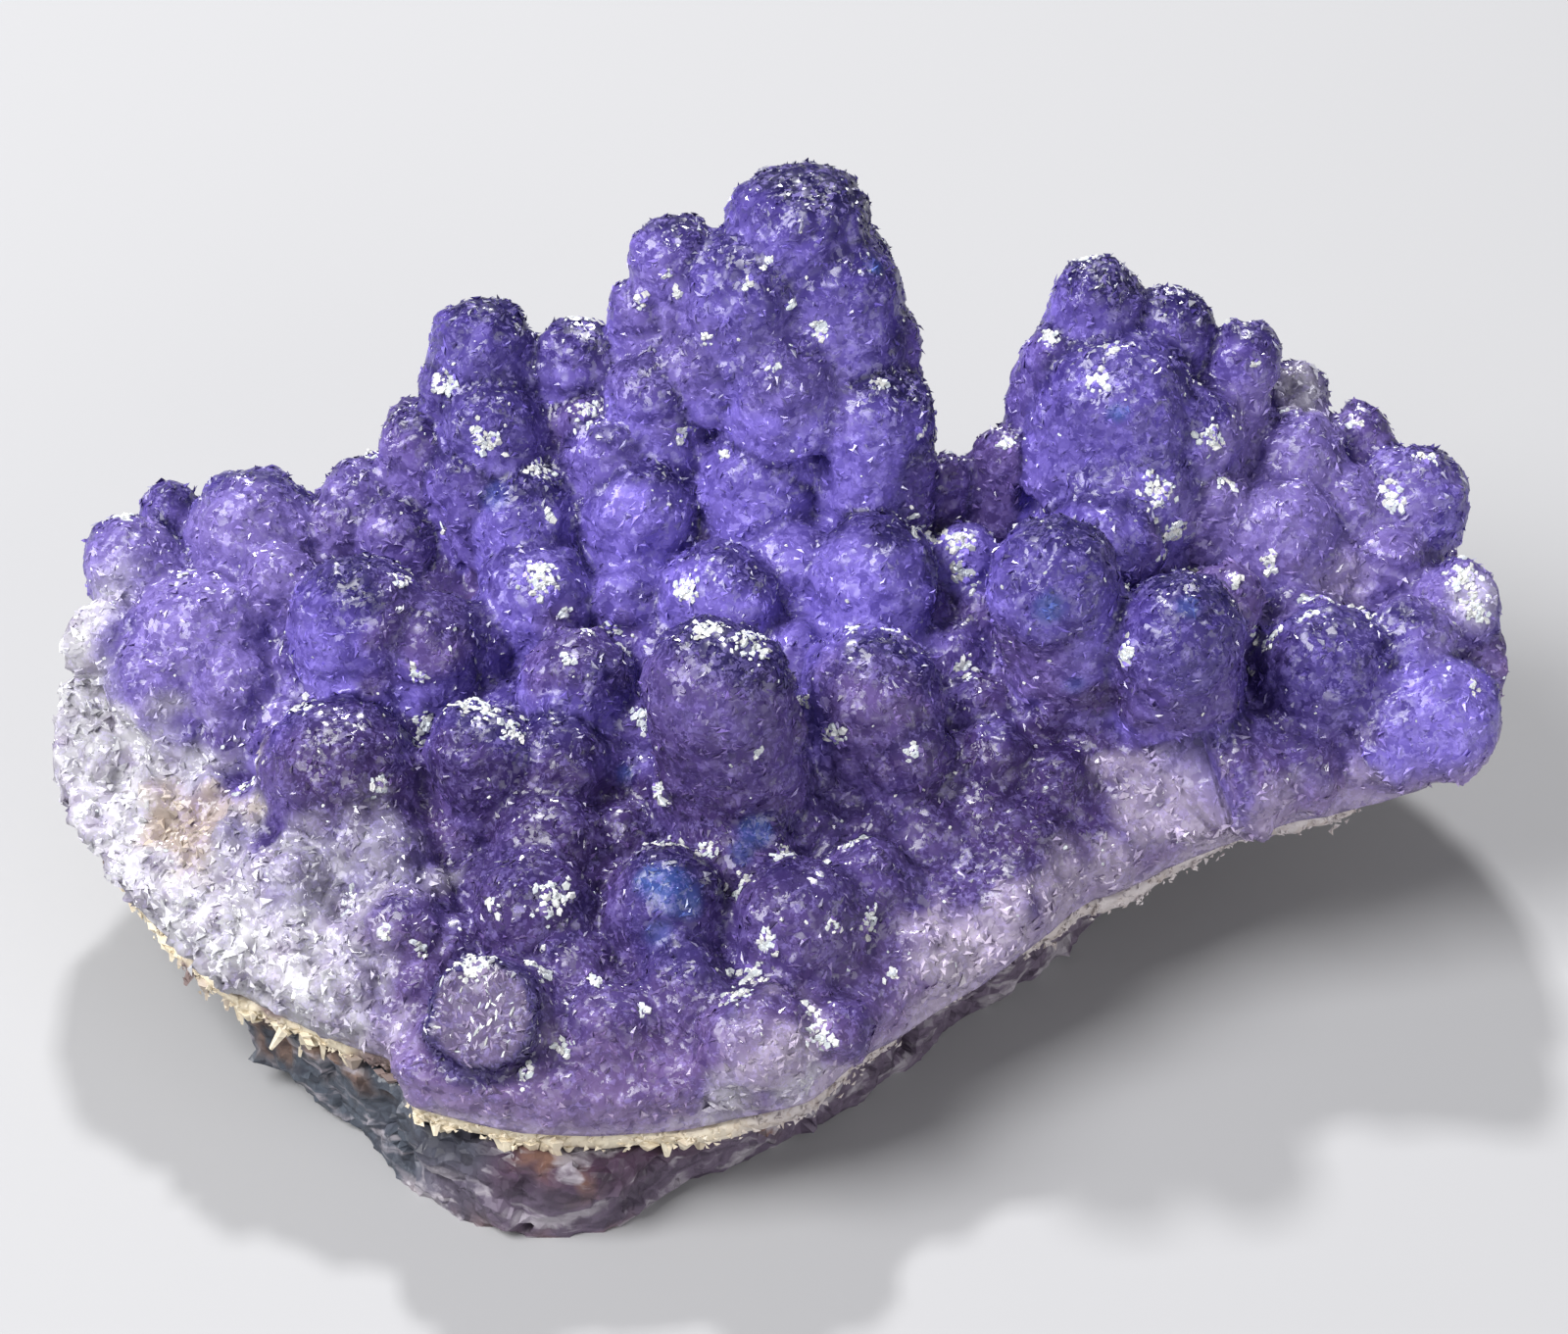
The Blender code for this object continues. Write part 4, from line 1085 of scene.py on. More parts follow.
# The end is greyish, with a dark ring of painted shade round it
dark_ring = 0.85 * smooth(*RING_INNER, aside) * smooth(*RING_OUTER, aside)
tint = mixed(tint, PAINTED_SHADE, dark_ring * smooth(*RING_DEPTH, along))
on_end = smooth(*INSIDE_END, aside) * smooth(*END_DEPTH, along)
crust_tint = mixed(tint, STUB_GREY, 0.9 * on_end)
frosty = np.maximum(patch_mask(FROST_PLACES), smooth(*ALL_FROST_BEHIND, crust_places[:, 1]))
frost = smooth(*FROSTED, rise + 0.25 * patchy + 0.15 * wander) * (0.4 + 0.6 * large) * stands
frost = frost * (0.25 + 0.75 * frosty)
crust_frost = frost * (1 - white) * (1 - 0.7 * calm) * (1 - 0.8 * on_end)
crust_pale = np.maximum(white, 0.7 * lilac)
print("mean frost:", round(float(crust_frost.mean()), 3))

# %% Break the pale places into chips
PALE_CHIP_SIZE, PALE_CHIP_DEPTH, PALE_CHIP_CONTRAST = 2.2, 1.7, 0.45
DEEPEST_CHIP, HIGHEST_CHIP = -0.6, 0.3


def chipped(places, size):
    """How far points stand out on flat chips that each lean their own way, and a painted shade for each chip
    from the way it leans.
    """
    heights, chip_shades = [], []
    for place in places:
        where = Vector(place) / size + chance_at(Vector(place) / 5) * 0.3
        _, cells = noise.voronoi(where)
        lean = chance_at(cells[0] * 3.3)
        heights.append((where - cells[0]).dot(lean))
        chip_shades.append(lean.x)
    return np.array(heights), np.array(chip_shades)


def keep_tint(mesh, colours):
    """Keeps one colour for each vertex."""
    layer = mesh.color_attributes.new("tint", "FLOAT_COLOR", "POINT")
    layer.data.foreach_set("color", np.hstack([colours, np.ones((len(colours), 1))]).ravel())


def keep_value(mesh, name, values):
    """Keeps one number for each vertex."""
    layer = mesh.attributes.new(name, "FLOAT", "POINT")
    layer.data.foreach_set("value", np.asarray(values, float))


crust_normals = normals_of(crust.data)
broken = np.nonzero((crust_pale > 0.05) & (crust_above > 0.1))[0]
heights, chip_shades = chipped(crust_places[broken], PALE_CHIP_SIZE)
depth = PALE_CHIP_DEPTH * crust_pale[broken] * smooth(0.1, 0.8, crust_above[broken])
depth = depth * np.clip(heights, DEEPEST_CHIP, HIGHEST_CHIP)
crust_places[broken] += crust_normals[broken] * depth[:, None]
# Painted light and shade: each pale chip is lighter or darker by the way it leans
crust_tint[broken] *= 1 + (PALE_CHIP_CONTRAST * crust_pale[broken] * chip_shades)[:, None]
move_to(crust.data, crust_places)
crust_places, crust_normals, crust_tree = places_of(crust.data), normals_of(crust.data), tree_of(crust.data)
keep_tint(crust.data, np.clip(crust_tint, 0, 0.9))
keep_value(crust.data, "frost", crust_frost)
keep_value(crust.data, "pale", crust_pale)
print(len(broken), "points lie on chips")

# %% [markdown]
# ## Crystals of the skin
#
# The skin is a druse: thousands of tiny cubes that grew into each other, so only their corners stick out.
# A cube's corner is a pyramid with three faces, so one such pyramid is made and copied. Each copy sits on a
# point of the crust, stretched a little and turned at random about the way the skin faces, and takes the
# colour of that point.

# %% One crystal corner, copied many times
CORNER_DEPTH = 1 / math.sqrt(2)


def corner_crystal():
    """The corner of a cube that sticks out of a surface: three faces over a small base."""
    return cone(3, 1, 0, CORNER_DEPTH)


def scale_crystal():
    """A flat-topped scale with five sides, such as a crystal that lies against its neighbours."""
    return cone(5, 1, 0.72, 0.5)


def stretched(sizes, stretch, flatness, chance):
    """Sizes along three directions for each copy, longer one way than the other."""
    pull = 1 + stretch * chance.random(len(sizes))
    return np.stack([sizes * pull, sizes / pull, sizes * flatness], axis=1)


print("a corner has", len(corner_crystal().faces), "faces and a scale has", len(scale_crystal().faces))

# %% Cover the skin
SKIN_SIZE, SKIN_SIZE_CHANGE, LARGER_ON_PALE = 0.25, 0.10, 0.7
SKIN_TILT, SKIN_SUNK, SKIN_WANDER = 0.36, 0.035, 0.08
# The share of the crust's points that carry a crystal: everywhere, more on frosted caps, more on pale places
SHARE_EVERYWHERE, SHARE_FROST, SHARE_PALE = 0.36, 0.50, 0.10
LOWEST_CRYSTAL = 1.2
BRIGHTNESS_CHANGE = 0.24
# How many crystals on frosted caps take a painted white glint, and how much of it
GLINTING_SHARE, GLINT_STRENGTH = 0.35, 0.30

chance = np.random.default_rng(11)
share = SHARE_EVERYWHERE + SHARE_FROST * crust_frost + SHARE_PALE * crust_pale
on_top = np.nonzero((crust_above > LOWEST_CRYSTAL) & (chance.random(len(crust_places)) < share))[0]
count, pale = len(on_top), crust_pale[on_top]
skin_axes = unit(crust_normals[on_top] + SKIN_TILT * chance.normal(size=(count, 3)))
skin_sizes = SKIN_SIZE + SKIN_SIZE_CHANGE * chance.uniform(-1, 1, count)
skin_sizes *= 1 + LARGER_ON_PALE * pale
skin_places = crust_places[on_top] - crust_normals[on_top] * SKIN_SUNK
skin_places = skin_places + chance.normal(size=(count, 3)) * SKIN_WANDER
skin_sizes = stretched(skin_sizes, 0.9 - 0.6 * pale, 0.6 + 0.3 * pale, chance)
skin_spins = chance.uniform(0, math.tau, count)
skin, skin_copy = scatter(
    "skin_crystals", corner_crystal(), skin_places, skin_axes, skin_sizes, skin_spins
)

brighter = 1 + BRIGHTNESS_CHANGE * chance.normal(size=count)[:, None].clip(-2, 2)
skin_tint = np.clip(crust_tint[on_top] * brighter, 0, 1)
glinting_skin = chance.random(count) < GLINTING_SHARE * crust_frost[on_top]
skin_tint[glinting_skin] = mixed(skin_tint[glinting_skin], PAINTED_GLINT, GLINT_STRENGTH)
keep_tint(skin.data, skin_tint[skin_copy])
tell_triangles(skin)

# %% [markdown]
# ## Glitter
#
# Here and there a group of cleaner crystals all catch the light, mostly near the top of a knob. These are
# thin scales with a painted white glint, with some of the knob's own colour, painted brighter, between them.
# The main groups have their own places. Behind, where none are known, groups are scattered by chance.

# %% Groups of bright scales: across, up and reach
GLINT_PLACES = (
    (-7.1, 24.1, 0.4), (-8.7, 22.3, 0.5), (-6.5, 22.9, 0.4), (-2.3, 23.4, 0.5), (-1.0, 24.8, 0.5),
    (0.3, 22.3, 0.4), (-4.8, 20.2, 0.4), (2.3, 20.7, 0.8), (-0.8, 18.2, 0.5), (-20.7, 17.4, 1.1),
    (-18.3, 13.9, 1.1), (-15.0, 12.2, 1.0), (-14.3, 9.4, 0.4), (-12.1, 15.8, 1.0), (-6.3, 14.3, 0.8),
    (-21.1, 8.4, 0.4), (-23.5, 5.4, 0.7), (-15.0, 5.4, 1.3), (-13.4, 3.2, 0.5), (-6.0, 4.9, 1.0),
    (10.9, 7.7, 1.0), (11.0, 5.7, 1.0), (8.5, 14.4, 0.6), (6.0, 17.3, 0.5), (-3.7, 13.0, 0.3),
    (19.1, 17.4, 0.9), (20.0, 19.6, 0.7), (16.1, 20.1, 0.8), (13.8, 13.8, 0.7), (26.2, 14.1, 1.0),
    (27.1, 11.1, 0.6), (23.2, 6.9, 0.5), (25.4, 5.9, 0.7), (27.6, 5.4, 0.7), (29.6, 6.4, 0.7),
    (32.2, 3.2, 0.7), (35.8, 3.2, 0.5), (41.7, 5.4, 1.3), (42.5, 3.6, 1.1), (37.1, 10.3, 1.0),
    (39.6, 12.8, 0.8), (35.2, 14.9, 0.5), (20.8, 0.7, 1.0), (28.7, -0.3, 0.5), (11.0, -0.1, 0.8),
    (42.3, -1.3, 0.5), (28.8, 18.6, 0.3), (27.1, 21.1, 0.4), (-22.2, -3.4, 0.8), (-19.2, -2.3, 1.2),
    (-16.5, -3.7, 1.0), (-22.6, -0.4, 0.7), (-10.5, 2.2, 0.7), (-5.8, 4.5, 0.7), (-13.2, 0.4, 0.5),
    (-24.7, -7.2, 0.8), (-8.7, -3.4, 0.8), (-7.7, -7.7, 1.0), (-4.9, -11.2, 0.7), (-2.1, 1.5, 1.3),
    (-1.7, -5.3, 0.5), (1.1, -1.9, 0.7), (3.2, -4.2, 0.8), (7.9, -5.2, 0.7), (4.1, 2.3, 0.5),
    (-2.6, -13.5, 0.8), (-1.1, -17.0, 0.8), (5.3, -15.4, 1.0), (3.0, -15.7, 0.6), (6.7, -18.8, 0.6),
    (-14.3, -14.0, 1.3), (-17.8, -14.8, 0.6), (-11.6, -19.2, 0.7), (-8.8, -21.1, 0.5),
    (-3.1, -20.2, 1.0), (-13.5, -23.3, 0.7), (2.3, -22.5, 1.0), (1.5, -20.8, 0.5), (-18.9, -18.3, 1.3),
    (-15.9, -24.7, 0.7), (-22.2, -17.3, 0.7), (-24.4, -16.2, 0.6), (22.8, 10.8, 1.2), (24.0, 8.4, 1.0),
)
GLINT_SPACING, GLINTS_A_SPACE, FEWEST_GLINTS = 0.29, 3.0, 5
GLINT_SPREAD = 0.42
GLINT_SIZE, GLINT_SIZE_CHANGE = 0.24, 0.11
BACK_GROUPS, BACK_REACH = 80, (0.4, 1.2)
# Fine bright specks everywhere else, more of them on the frosted caps
SPECKS, SPECK_SIZE = 900, (0.08, 0.18)

groups = [(seen_on_crust(across, up), reach) for across, up, reach in GLINT_PLACES]
groups = [(place, reach) for place, reach in groups if place is not None]
chance = np.random.default_rng(23)
behind = np.nonzero((crust_normals[:, 1] > 0.2) & (crust_normals[:, 2] > 0.35) & (crust_above > 4))[0]
for i in chance.choice(behind, BACK_GROUPS, replace=False):
    groups.append((Vector(crust_places[i]), chance.uniform(*BACK_REACH)))
spots, spot_sizes = [], []
for centre, reach in groups:
    for _ in range(max(int(GLINTS_A_SPACE * (reach / GLINT_SPACING) ** 2), FEWEST_GLINTS)):
        spots.append(centre + Vector(chance.normal(size=3) * reach * GLINT_SPREAD))
        spot_sizes.append(GLINT_SIZE + GLINT_SIZE_CHANGE * chance.uniform(-1, 1))
likely = np.where(crust_above > 2.5, 0.15 + crust_frost + 0.8 * crust_pale, 0)
for i in chance.choice(len(crust_places), SPECKS, replace=False, p=likely / likely.sum()):
    spots.append(Vector(crust_places[i]))
    spot_sizes.append(chance.uniform(*SPECK_SIZE))
print(len(groups), "groups and", SPECKS, "specks make", len(spots), "spots")

# %% Bright scales, and a fan of long flakes over the end of the snapped finger
FAN, FAN_RADII, FAN_SIZE = 80, (0.15, 0.95), (0.08, 0.24)
FAN_STRETCH, FAN_NARROW, FAN_DISORDER = 1.6, 0.6, 0.5
GLINT_TILT = 0.35
# The share of the scales that gets a painted white glint, in the groups and in the fan, and how warm or cool
# a scale can be
GLINT_SHARE_IN_GROUPS, GLINT_SHARE_IN_FAN = 0.8, 0.4
WARMTH = np.array((0.04, 0.0, -0.04))
# How bright the painted glint is, and how much brighter than the crust the other scales are painted
GLINT_BRIGHTNESS, TINTED_BRIGHTNESS = (0.6, 1.05), 1.5

first_of_fan = len(spots)
for _ in range(FAN):
    aside = Vector(chance.normal(size=3))
    aside -= stub_axis * aside.dot(stub_axis)
    spots.append(stub_middle + aside.normalized() * stub_radius * chance.uniform(*FAN_RADII))
    spot_sizes.append(chance.uniform(*FAN_SIZE))
glint_places, glint_normals, faces, _ = zip(*(crust_tree.find_nearest(spot) for spot in spots))
glint_places, glint_normals = np.array(glint_places), np.array(glint_normals)
count, in_fan = len(spots), slice(first_of_fan, None)
glint_axes = unit(glint_normals + chance.normal(size=(count, 3)) * GLINT_TILT)
glint_sizes = stretched(np.array(spot_sizes), 0.4, 1.0, chance)
glint_spins = chance.uniform(0, math.tau, count)
glint_axes[in_fan] = glint_normals[in_fan]
glint_sizes[in_fan] *= (FAN_STRETCH, FAN_NARROW, 1)
outwards = glint_places[in_fan] - np.array(stub_middle - PICTURE_UP * stub_radius)
glint_spins[in_fan] = spins_towards(glint_axes[in_fan], outwards) + FAN_DISORDER * chance.normal(size=FAN)
glints, glint_copy = scatter(
    "glitter_crystals", scale_crystal(), glint_places, glint_axes, glint_sizes, glint_spins
)
corner_of = [crust.data.polygons[face].vertices[0] for face in faces]
glinting = chance.random(count) < np.where(np.arange(count) < first_of_fan, GLINT_SHARE_IN_GROUPS, GLINT_SHARE_IN_FAN)
warmth = chance.uniform(-1, 1, count)[:, None] * WARMTH
glint_colour = (np.array(PAINTED_GLINT) + warmth) * chance.uniform(*GLINT_BRIGHTNESS, count)[:, None]
glint_tint = np.where(glinting[:, None], glint_colour, crust_tint[corner_of] * TINTED_BRIGHTNESS)
keep_tint(glints.data, np.clip(glint_tint, 0, 1)[glint_copy])
print(count, "glitter crystals in", len(groups), "groups")

# %% [markdown]
# ## Seam and rock
#
# Under the crust lies a band of cream-white quartz a millimetre or so thick, and under that the dark host
# rock. Both are broken edges, so their rings wander in and out. A voxel Remesh gives them small even faces,
# which noise then roughens and, on the rock, breaks into chips. The seam's little crystals grew down into
# the rock like teeth.

# %% Rough sides
SIDE_SEGMENTS = 240
SEAM_ROUGHNESS, ROCK_ROUGHNESS = 0.7, 1.5
# The ledges of a broken side: how fine they are, how strong, and where in the noise they are read
LEDGES = ((3, 1.0, 0), (9, 0.6, 5))


def rough_rings(bottom, top, shares, roughness):
    """Rings for a broken side between an outline below and an outline above."""

    def rough(angle, share, seed):
        about = bottom(angle) * (1 - share) + top(angle) * share
        where = Vector((math.cos(angle), math.sin(angle), 0))
        ledges = sum(
            strength * noise.noise(where * number + Vector((shift, 0, seed)))
            for number, strength, shift in LEDGES
        )
        return about + roughness * ledges

    return [lambda angle, s=share, n=number: rough(angle, s, 1.7 * n) for number, share in enumerate(shares)]


print("rough rings:", [round(ring(0.0), 1) for ring in rough_rings(foot_reach, rim_reach, (0.0, 1.0), 1.5)])

# %% Seam
SEAM_VOXEL = 0.42
SEAM_KEPT = 0.4
SEAM_FOOT_SHARE, SEAM_TOP_SHARE = 0.9, 0.985
SEAM_LUMPS, SEAM_LUMP_DEPTH = 1.4, 0.6
CREAM = (0.940, 0.885, 0.730)
SUGAR_WHITE = (0.700, 0.670, 0.720)
SEAM_STAIN = (0.200, 0.130, 0.170)
# From where to where, across, the seam turns white to the right and stained to the left
SUGAR_SIDE, STAINED_SIDE = (-7.0, 1.0), (-20.0, -24.0)

low_reach, high_reach = rough_rings(seam_reach, seam_reach, (0.0, 1.0), SEAM_ROUGHNESS)
seam_rings = [
    (low_reach, SEAM_FOOT_SHARE, below_contact),
    (high_reach, SEAM_TOP_SHARE, lambda x, y: contact_height(x, y) + SEAM_THICKNESS),
]
seam = mesh_object("jagged_seam", stack_of_rings(seam_rings, SIDE_SEGMENTS))
cut(seam, "INTERSECT", contact_block("seam_top", -GAP / 2))
cut(seam, "DIFFERENCE", contact_block("seam_bottom", -GAP / 2 - SEAM_THICKNESS))
remeshed(seam, SEAM_VOXEL)
places, normals = places_of(seam.data), normals_of(seam.data)
outward = np.clip(1 - np.abs(normals[:, 2]), 0, 1)
rough = np.array([noise.turbulence(Vector(place) / SEAM_LUMPS, 3, True) for place in places]) - 0.5
places += normals * (SEAM_LUMP_DEPTH * outward * rough)[:, None]
move_to(seam.data, places)
fewer(seam, SEAM_KEPT)
seam.data.shade_smooth()
places = places_of(seam.data)
sugary = smooth(*SUGAR_SIDE, places[:, 0] + 2.0 * noise_at(places, 3.0, 11.0))
seam_tint = mixed(CREAM, SUGAR_WHITE, sugary)
stained = smooth(0.1, 0.3, noise_at(places, 2.4, 12.0)) * smooth(*STAINED_SIDE, places[:, 0])
seam_tint = mixed(seam_tint, SEAM_STAIN, 0.85 * stained)
keep_tint(seam.data, seam_tint)
tell_triangles(seam)

# %% Grains of the seam
GRAINS, GRAIN_SIZE, GRAIN_TILT = 3000, (0.12, 0.3), 0.4
SEAM_SPREAD = 0.2

normals = normals_of(seam.data)
chance = np.random.default_rng(31)
side_faces = np.nonzero(np.abs(normals[:, 2]) < 0.6)[0]
chosen = chance.choice(side_faces, GRAINS)
spots = places[chosen] + SEAM_SPREAD * chance.normal(size=(GRAINS, 3))
axes = unit(normals[chosen] + GRAIN_TILT * chance.normal(size=(GRAINS, 3)))
sizes = stretched(chance.uniform(*GRAIN_SIZE, GRAINS), 0.4, 0.8, chance)
spins = chance.uniform(0, math.tau, GRAINS)
seam_grains, grain_copy = scatter("seam_grains", corner_crystal(), spots, axes, sizes, spins)
keep_tint(seam_grains.data, seam_tint[chosen[grain_copy]])
print(GRAINS, "grains on the seam")

# %% Teeth of the seam
TEETH, TOOTH_WIDTH, TOOTH_LENGTH = 260, (0.25, 0.7), (0.4, 1.9)
TOOTH_TILT = 0.2
TEETH_ONLY_LEFT_OF, TEETH_BELOW = -3.0, -0.6 * SEAM_THICKNESS


def tooth_crystal():
    """A short tapered column with four sides."""
    return cone(4, 1, 0.35, 1, Matrix.Translation((0, 0, 0.3)))


low_edge = (np.hypot(normals[:, 0], normals[:, 1]) > 0.4) & (above_contact(places) < TEETH_BELOW)
low_edge = np.nonzero(low_edge & (places[:, 0] < TEETH_ONLY_LEFT_OF))[0]
chosen = chance.choice(low_edge, TEETH)
spots = places[chosen] + SEAM_SPREAD * chance.normal(size=(TEETH, 3))
# Teeth hang down and a little inwards
hanging = normals[chosen] * [-0.1, -0.1, 0] + [0, 0, -1.0]
axes = unit(hanging + TOOTH_TILT * chance.normal(size=(TEETH, 3)))
wide = chance.uniform(*TOOTH_WIDTH, TEETH)
long = chance.uniform(*TOOTH_LENGTH, TEETH) * np.clip(0.7 + 1.4 * noise_at(spots, 2.4, 6.0), 0.2, 1.4)
long *= 1 - 0.6 * stained[chosen]
sizes = np.stack([wide, wide * 0.5, long], axis=1)
spins = spins_towards(axes, np.cross(normals[chosen], [0, 0, 1.0]))
seam_teeth, tooth_copy = scatter("seam_teeth", tooth_crystal(), spots, axes, sizes, spins)
keep_tint(seam_teeth.data, seam_tint[chosen[tooth_copy]])
print(TEETH, "teeth on the seam")

# %% Rock
ROCK_VOXEL = 0.5
ROCK_KEPT = 0.5
ROCK_LEVELS = (0.0, 0.2, 0.45, 0.7, 1.0)
UNDERCUT = 1.6
ROCK_CHIP_SIZE, ROCK_CHIP_DEPTH = 2.6, 2.1
ROCK_CHIP_LOW, ROCK_CHIP_HIGH = -0.6, 0.45
ROCK_GRIT = 0.16

undercut = [level**UNDERCUT for level in ROCK_LEVELS]
rock_rings = [
    (reach, 1, lambda x, y, level=level: level * (contact_height(x, y) + SEAM_THICKNESS))
    for reach, level in zip(rough_rings(foot_reach, rock_reach, undercut, ROCK_ROUGHNESS), ROCK_LEVELS)
]
rock = mesh_object("broken_rock", stack_of_rings(rock_rings, SIDE_SEGMENTS))
cut(rock, "INTERSECT", contact_block("rock_top", -1.5 * GAP - SEAM_THICKNESS))
remeshed(rock, ROCK_VOXEL)
places, normals = places_of(rock.data), normals_of(rock.data)
outward = np.clip(1 - np.abs(normals[:, 2]) * 0.7, 0, 1) * smooth(0.1, 0.8, places[:, 2])
heights, _ = chipped(places, ROCK_CHIP_SIZE)
grit = ROCK_GRIT * noise_at(places, ROCK_CHIP_SIZE / 4)
heights = np.clip(1.1 * heights + grit, ROCK_CHIP_LOW, ROCK_CHIP_HIGH)
places += normals * (ROCK_CHIP_DEPTH * outward * heights)[:, None]
places[:, 2] = np.maximum(places[:, 2], 0)
move_to(rock.data, places)
fewer(rock, ROCK_KEPT)
# No point may end up under the flat cut
for vertex in rock.data.vertices:
    vertex.co.z = max(vertex.co.z, 0)
tell_triangles(rock)

# %% Colour the rock
MAROON = (0.060, 0.030, 0.062)
ROCK_PURPLE = (0.130, 0.098, 0.150)
SLATE = (0.070, 0.084, 0.110)
RUST = (0.300, 0.160, 0.085)
# The largest rust stain: across, up and how far back
RUST_PLACE = (-13.5, -33.0, -25.0)
# Where purple begins under the seam, where slate begins to the left, and how near the stain rust begins
PURPLE_DEPTH, SLATE_SIDE, RUST_REACH = (0.8, 3.2), (-16.0, -24.0), (7.0, 2.0)

places = places_of(rock.data)
wander = noise_at(places, 4.0, 7.0)
under = contact_height(places[:, 0], places[:, 1], np) - SEAM_THICKNESS - places[:, 2]
rock_tint = mixed(MAROON, ROCK_PURPLE, smooth(*PURPLE_DEPTH, under + 1.2 * wander))
rock_tint = mixed(rock_tint, SLATE, smooth(*SLATE_SIDE, places[:, 0] + 4 * wander))
from_rust = distances(places, sight_point_at(*RUST_PLACE))
rusty = 0.8 * smooth(*RUST_REACH, from_rust + 2 * wander)
rusty = np.maximum(rusty, 0.5 * smooth(0.25, 0.5, noise_at(places, 6.0, 8.0)))
rock_tint = mixed(rock_tint, RUST, rusty * smooth(-0.1, 0.3, noise_at(places, 1.6, 9.0)))
keep_tint(rock.data, rock_tint)
print("mean tint of the rock:", rock_tint.mean(0).round(3))

# %% [markdown]
# ## Materials
#
# One node group makes the crumpled relief and one makes the glint of flat facets, because the crust, the
# seam and the rock all need them at different sizes. Colours come from the attributes.

# %% Node helpers
def new_group(name, inputs, outputs):
    """An empty node group with named sockets: kind and default of each input, kind of each output."""
    group = bpy.data.node_groups.new(name, "ShaderNodeTree")
    for socket, (kind, value) in inputs.items():
        group.interface.new_socket(socket, in_out="INPUT", socket_type=kind).default_value = value
    for socket, kind in outputs.items():
        group.interface.new_socket(socket, in_out="OUTPUT", socket_type=kind)
    return group, group.nodes.new("NodeGroupInput").outputs, group.nodes.new("NodeGroupOutput").inputs


def add_node(tree, kind, inputs=None, **settings):
    """A node with its settings, and with values or links for its inputs."""
    node = tree.nodes.new("ShaderNode" + kind)
    for key, value in settings.items():
        setattr(node, key, value)
    for key, value in (inputs or {}).items():
        socket = node.inputs[key]
        if isinstance(value, bpy.types.NodeSocket):
            tree.links.new(value, socket)
        else:
            socket.default_value = value
    return node


def product(tree, first, second):
    return add_node(tree, "Math", {0: first, 1: second}, operation="MULTIPLY").outputs[0]


def vectors(tree, operation, first, second):
    """Adds or subtracts two vectors, or scales one by a number."""
    second_input = "Scale" if operation == "SCALE" else 1
    inputs = {0: first, second_input: second}
    return add_node(tree, "VectorMath", inputs, operation=operation).outputs[0]


def mix_colours(tree, share, below, above, blend="MIX"):
    inputs = {0: share, 6: below, 7: above}
    return add_node(tree, "Mix", inputs, data_type="RGBA", blend_type=blend).outputs[2]


def stepped(tree, value, low, high, to_low=0.0, to_high=1.0):
    """A value stretched from one span to another, and held at its ends."""
    inputs = {"Value": value, "From Min": low, "From Max": high, "To Min": to_low, "To Max": to_high}
    return add_node(tree, "MapRange", inputs).outputs[0]


print("helpers:", ", ".join(helper.__name__ for helper in (product, vectors, mix_colours, stepped)))

# %% Crumpled relief
def crumpled_relief():
    """Sharp ridges with valleys between them."""
    group, given, out = new_group(
        "crumpled relief",
        {"Vector": ("NodeSocketVector", (0, 0, 0)), "Scale": ("NodeSocketFloat", 1000.0)},
        {"Height": "NodeSocketFloat"},
    )
    ridges = add_node(
        group,
        "TexNoise",
        {"Vector": given["Vector"], "Scale": given["Scale"], "Detail": 4.0, "Distortion": 1.2},
        noise_type="RIDGED_MULTIFRACTAL",
        normalize=False,
    )
    group.links.new(stepped(group, ridges.outputs[0], 0.2, 2.0), out["Height"])
    return group


CRUMPLED = crumpled_relief()
print("sockets:", [socket.name for socket in CRUMPLED.interface.items_tree])

# %% Facet glints
MID_GREY = (0.5, 0.5, 0.5)
FACET_BEND = 1.1 * MM


def facet_glints():
    """Flat facets that each lean their own way, with two chance values for each facet."""
    group, given, out = new_group(
        "facet glints",
        {
            "Vector": ("NodeSocketVector", (0, 0, 0)),
            "Scale": ("NodeSocketFloat", 2500.0),
            "Tilt": ("NodeSocketFloat", 0.5),
        },
        {"Normal": "NodeSocketVector", "Chance": "NodeSocketFloat", "Second": "NodeSocketFloat"},
    )
    place, scale = given["Vector"], given["Scale"]
    # The cells are bent, so that the facets look torn instead of tiled
    bend = add_node(group, "TexNoise", {"Vector": place, "Scale": product(group, scale, 0.8)})
    centred = vectors(group, "SUBTRACT", bend.outputs["Color"], MID_GREY)
    bent = vectors(group, "ADD", place, vectors(group, "SCALE", centred, FACET_BEND))
    cells = add_node(group, "TexVoronoi", {"Vector": bent, "Scale": scale}).outputs["Color"]
    tilted = vectors(group, "SCALE", vectors(group, "SUBTRACT", cells, MID_GREY), given["Tilt"])
    shape = add_node(group, "NewGeometry")
    leaning = vectors(group, "ADD", shape.outputs["Normal"], tilted)
    facing = add_node(group, "VectorMath", {0: leaning}, operation="NORMALIZE")
    parts = add_node(group, "SeparateColor", {0: cells}).outputs
    for socket, value in (("Normal", facing.outputs[0]), ("Chance", parts[0]), ("Second", parts[1])):
        group.links.new(value, out[socket])
    return group


GLINTS = facet_glints()
print("groups:", [group.name for group in bpy.data.node_groups])


# %% Material helpers
def new_material(name):
    """A material, its node tree, its shader and the object coordinates in it."""
    material = bpy.data.materials.new(name)
    material.use_nodes = True
    tree = material.node_tree
    here = add_node(tree, "TexCoord").outputs["Object"]
    return material, tree, tree.nodes["Principled BSDF"], here


def attribute(tree, name, output="Fac"):
    return add_node(tree, "Attribute", attribute_name=name).outputs[output]


def crumpled(tree, here, scale):
    inputs = {"Vector": here, "Scale": scale}
    return add_node(tree, "Group", inputs, node_tree=CRUMPLED).outputs["Height"]


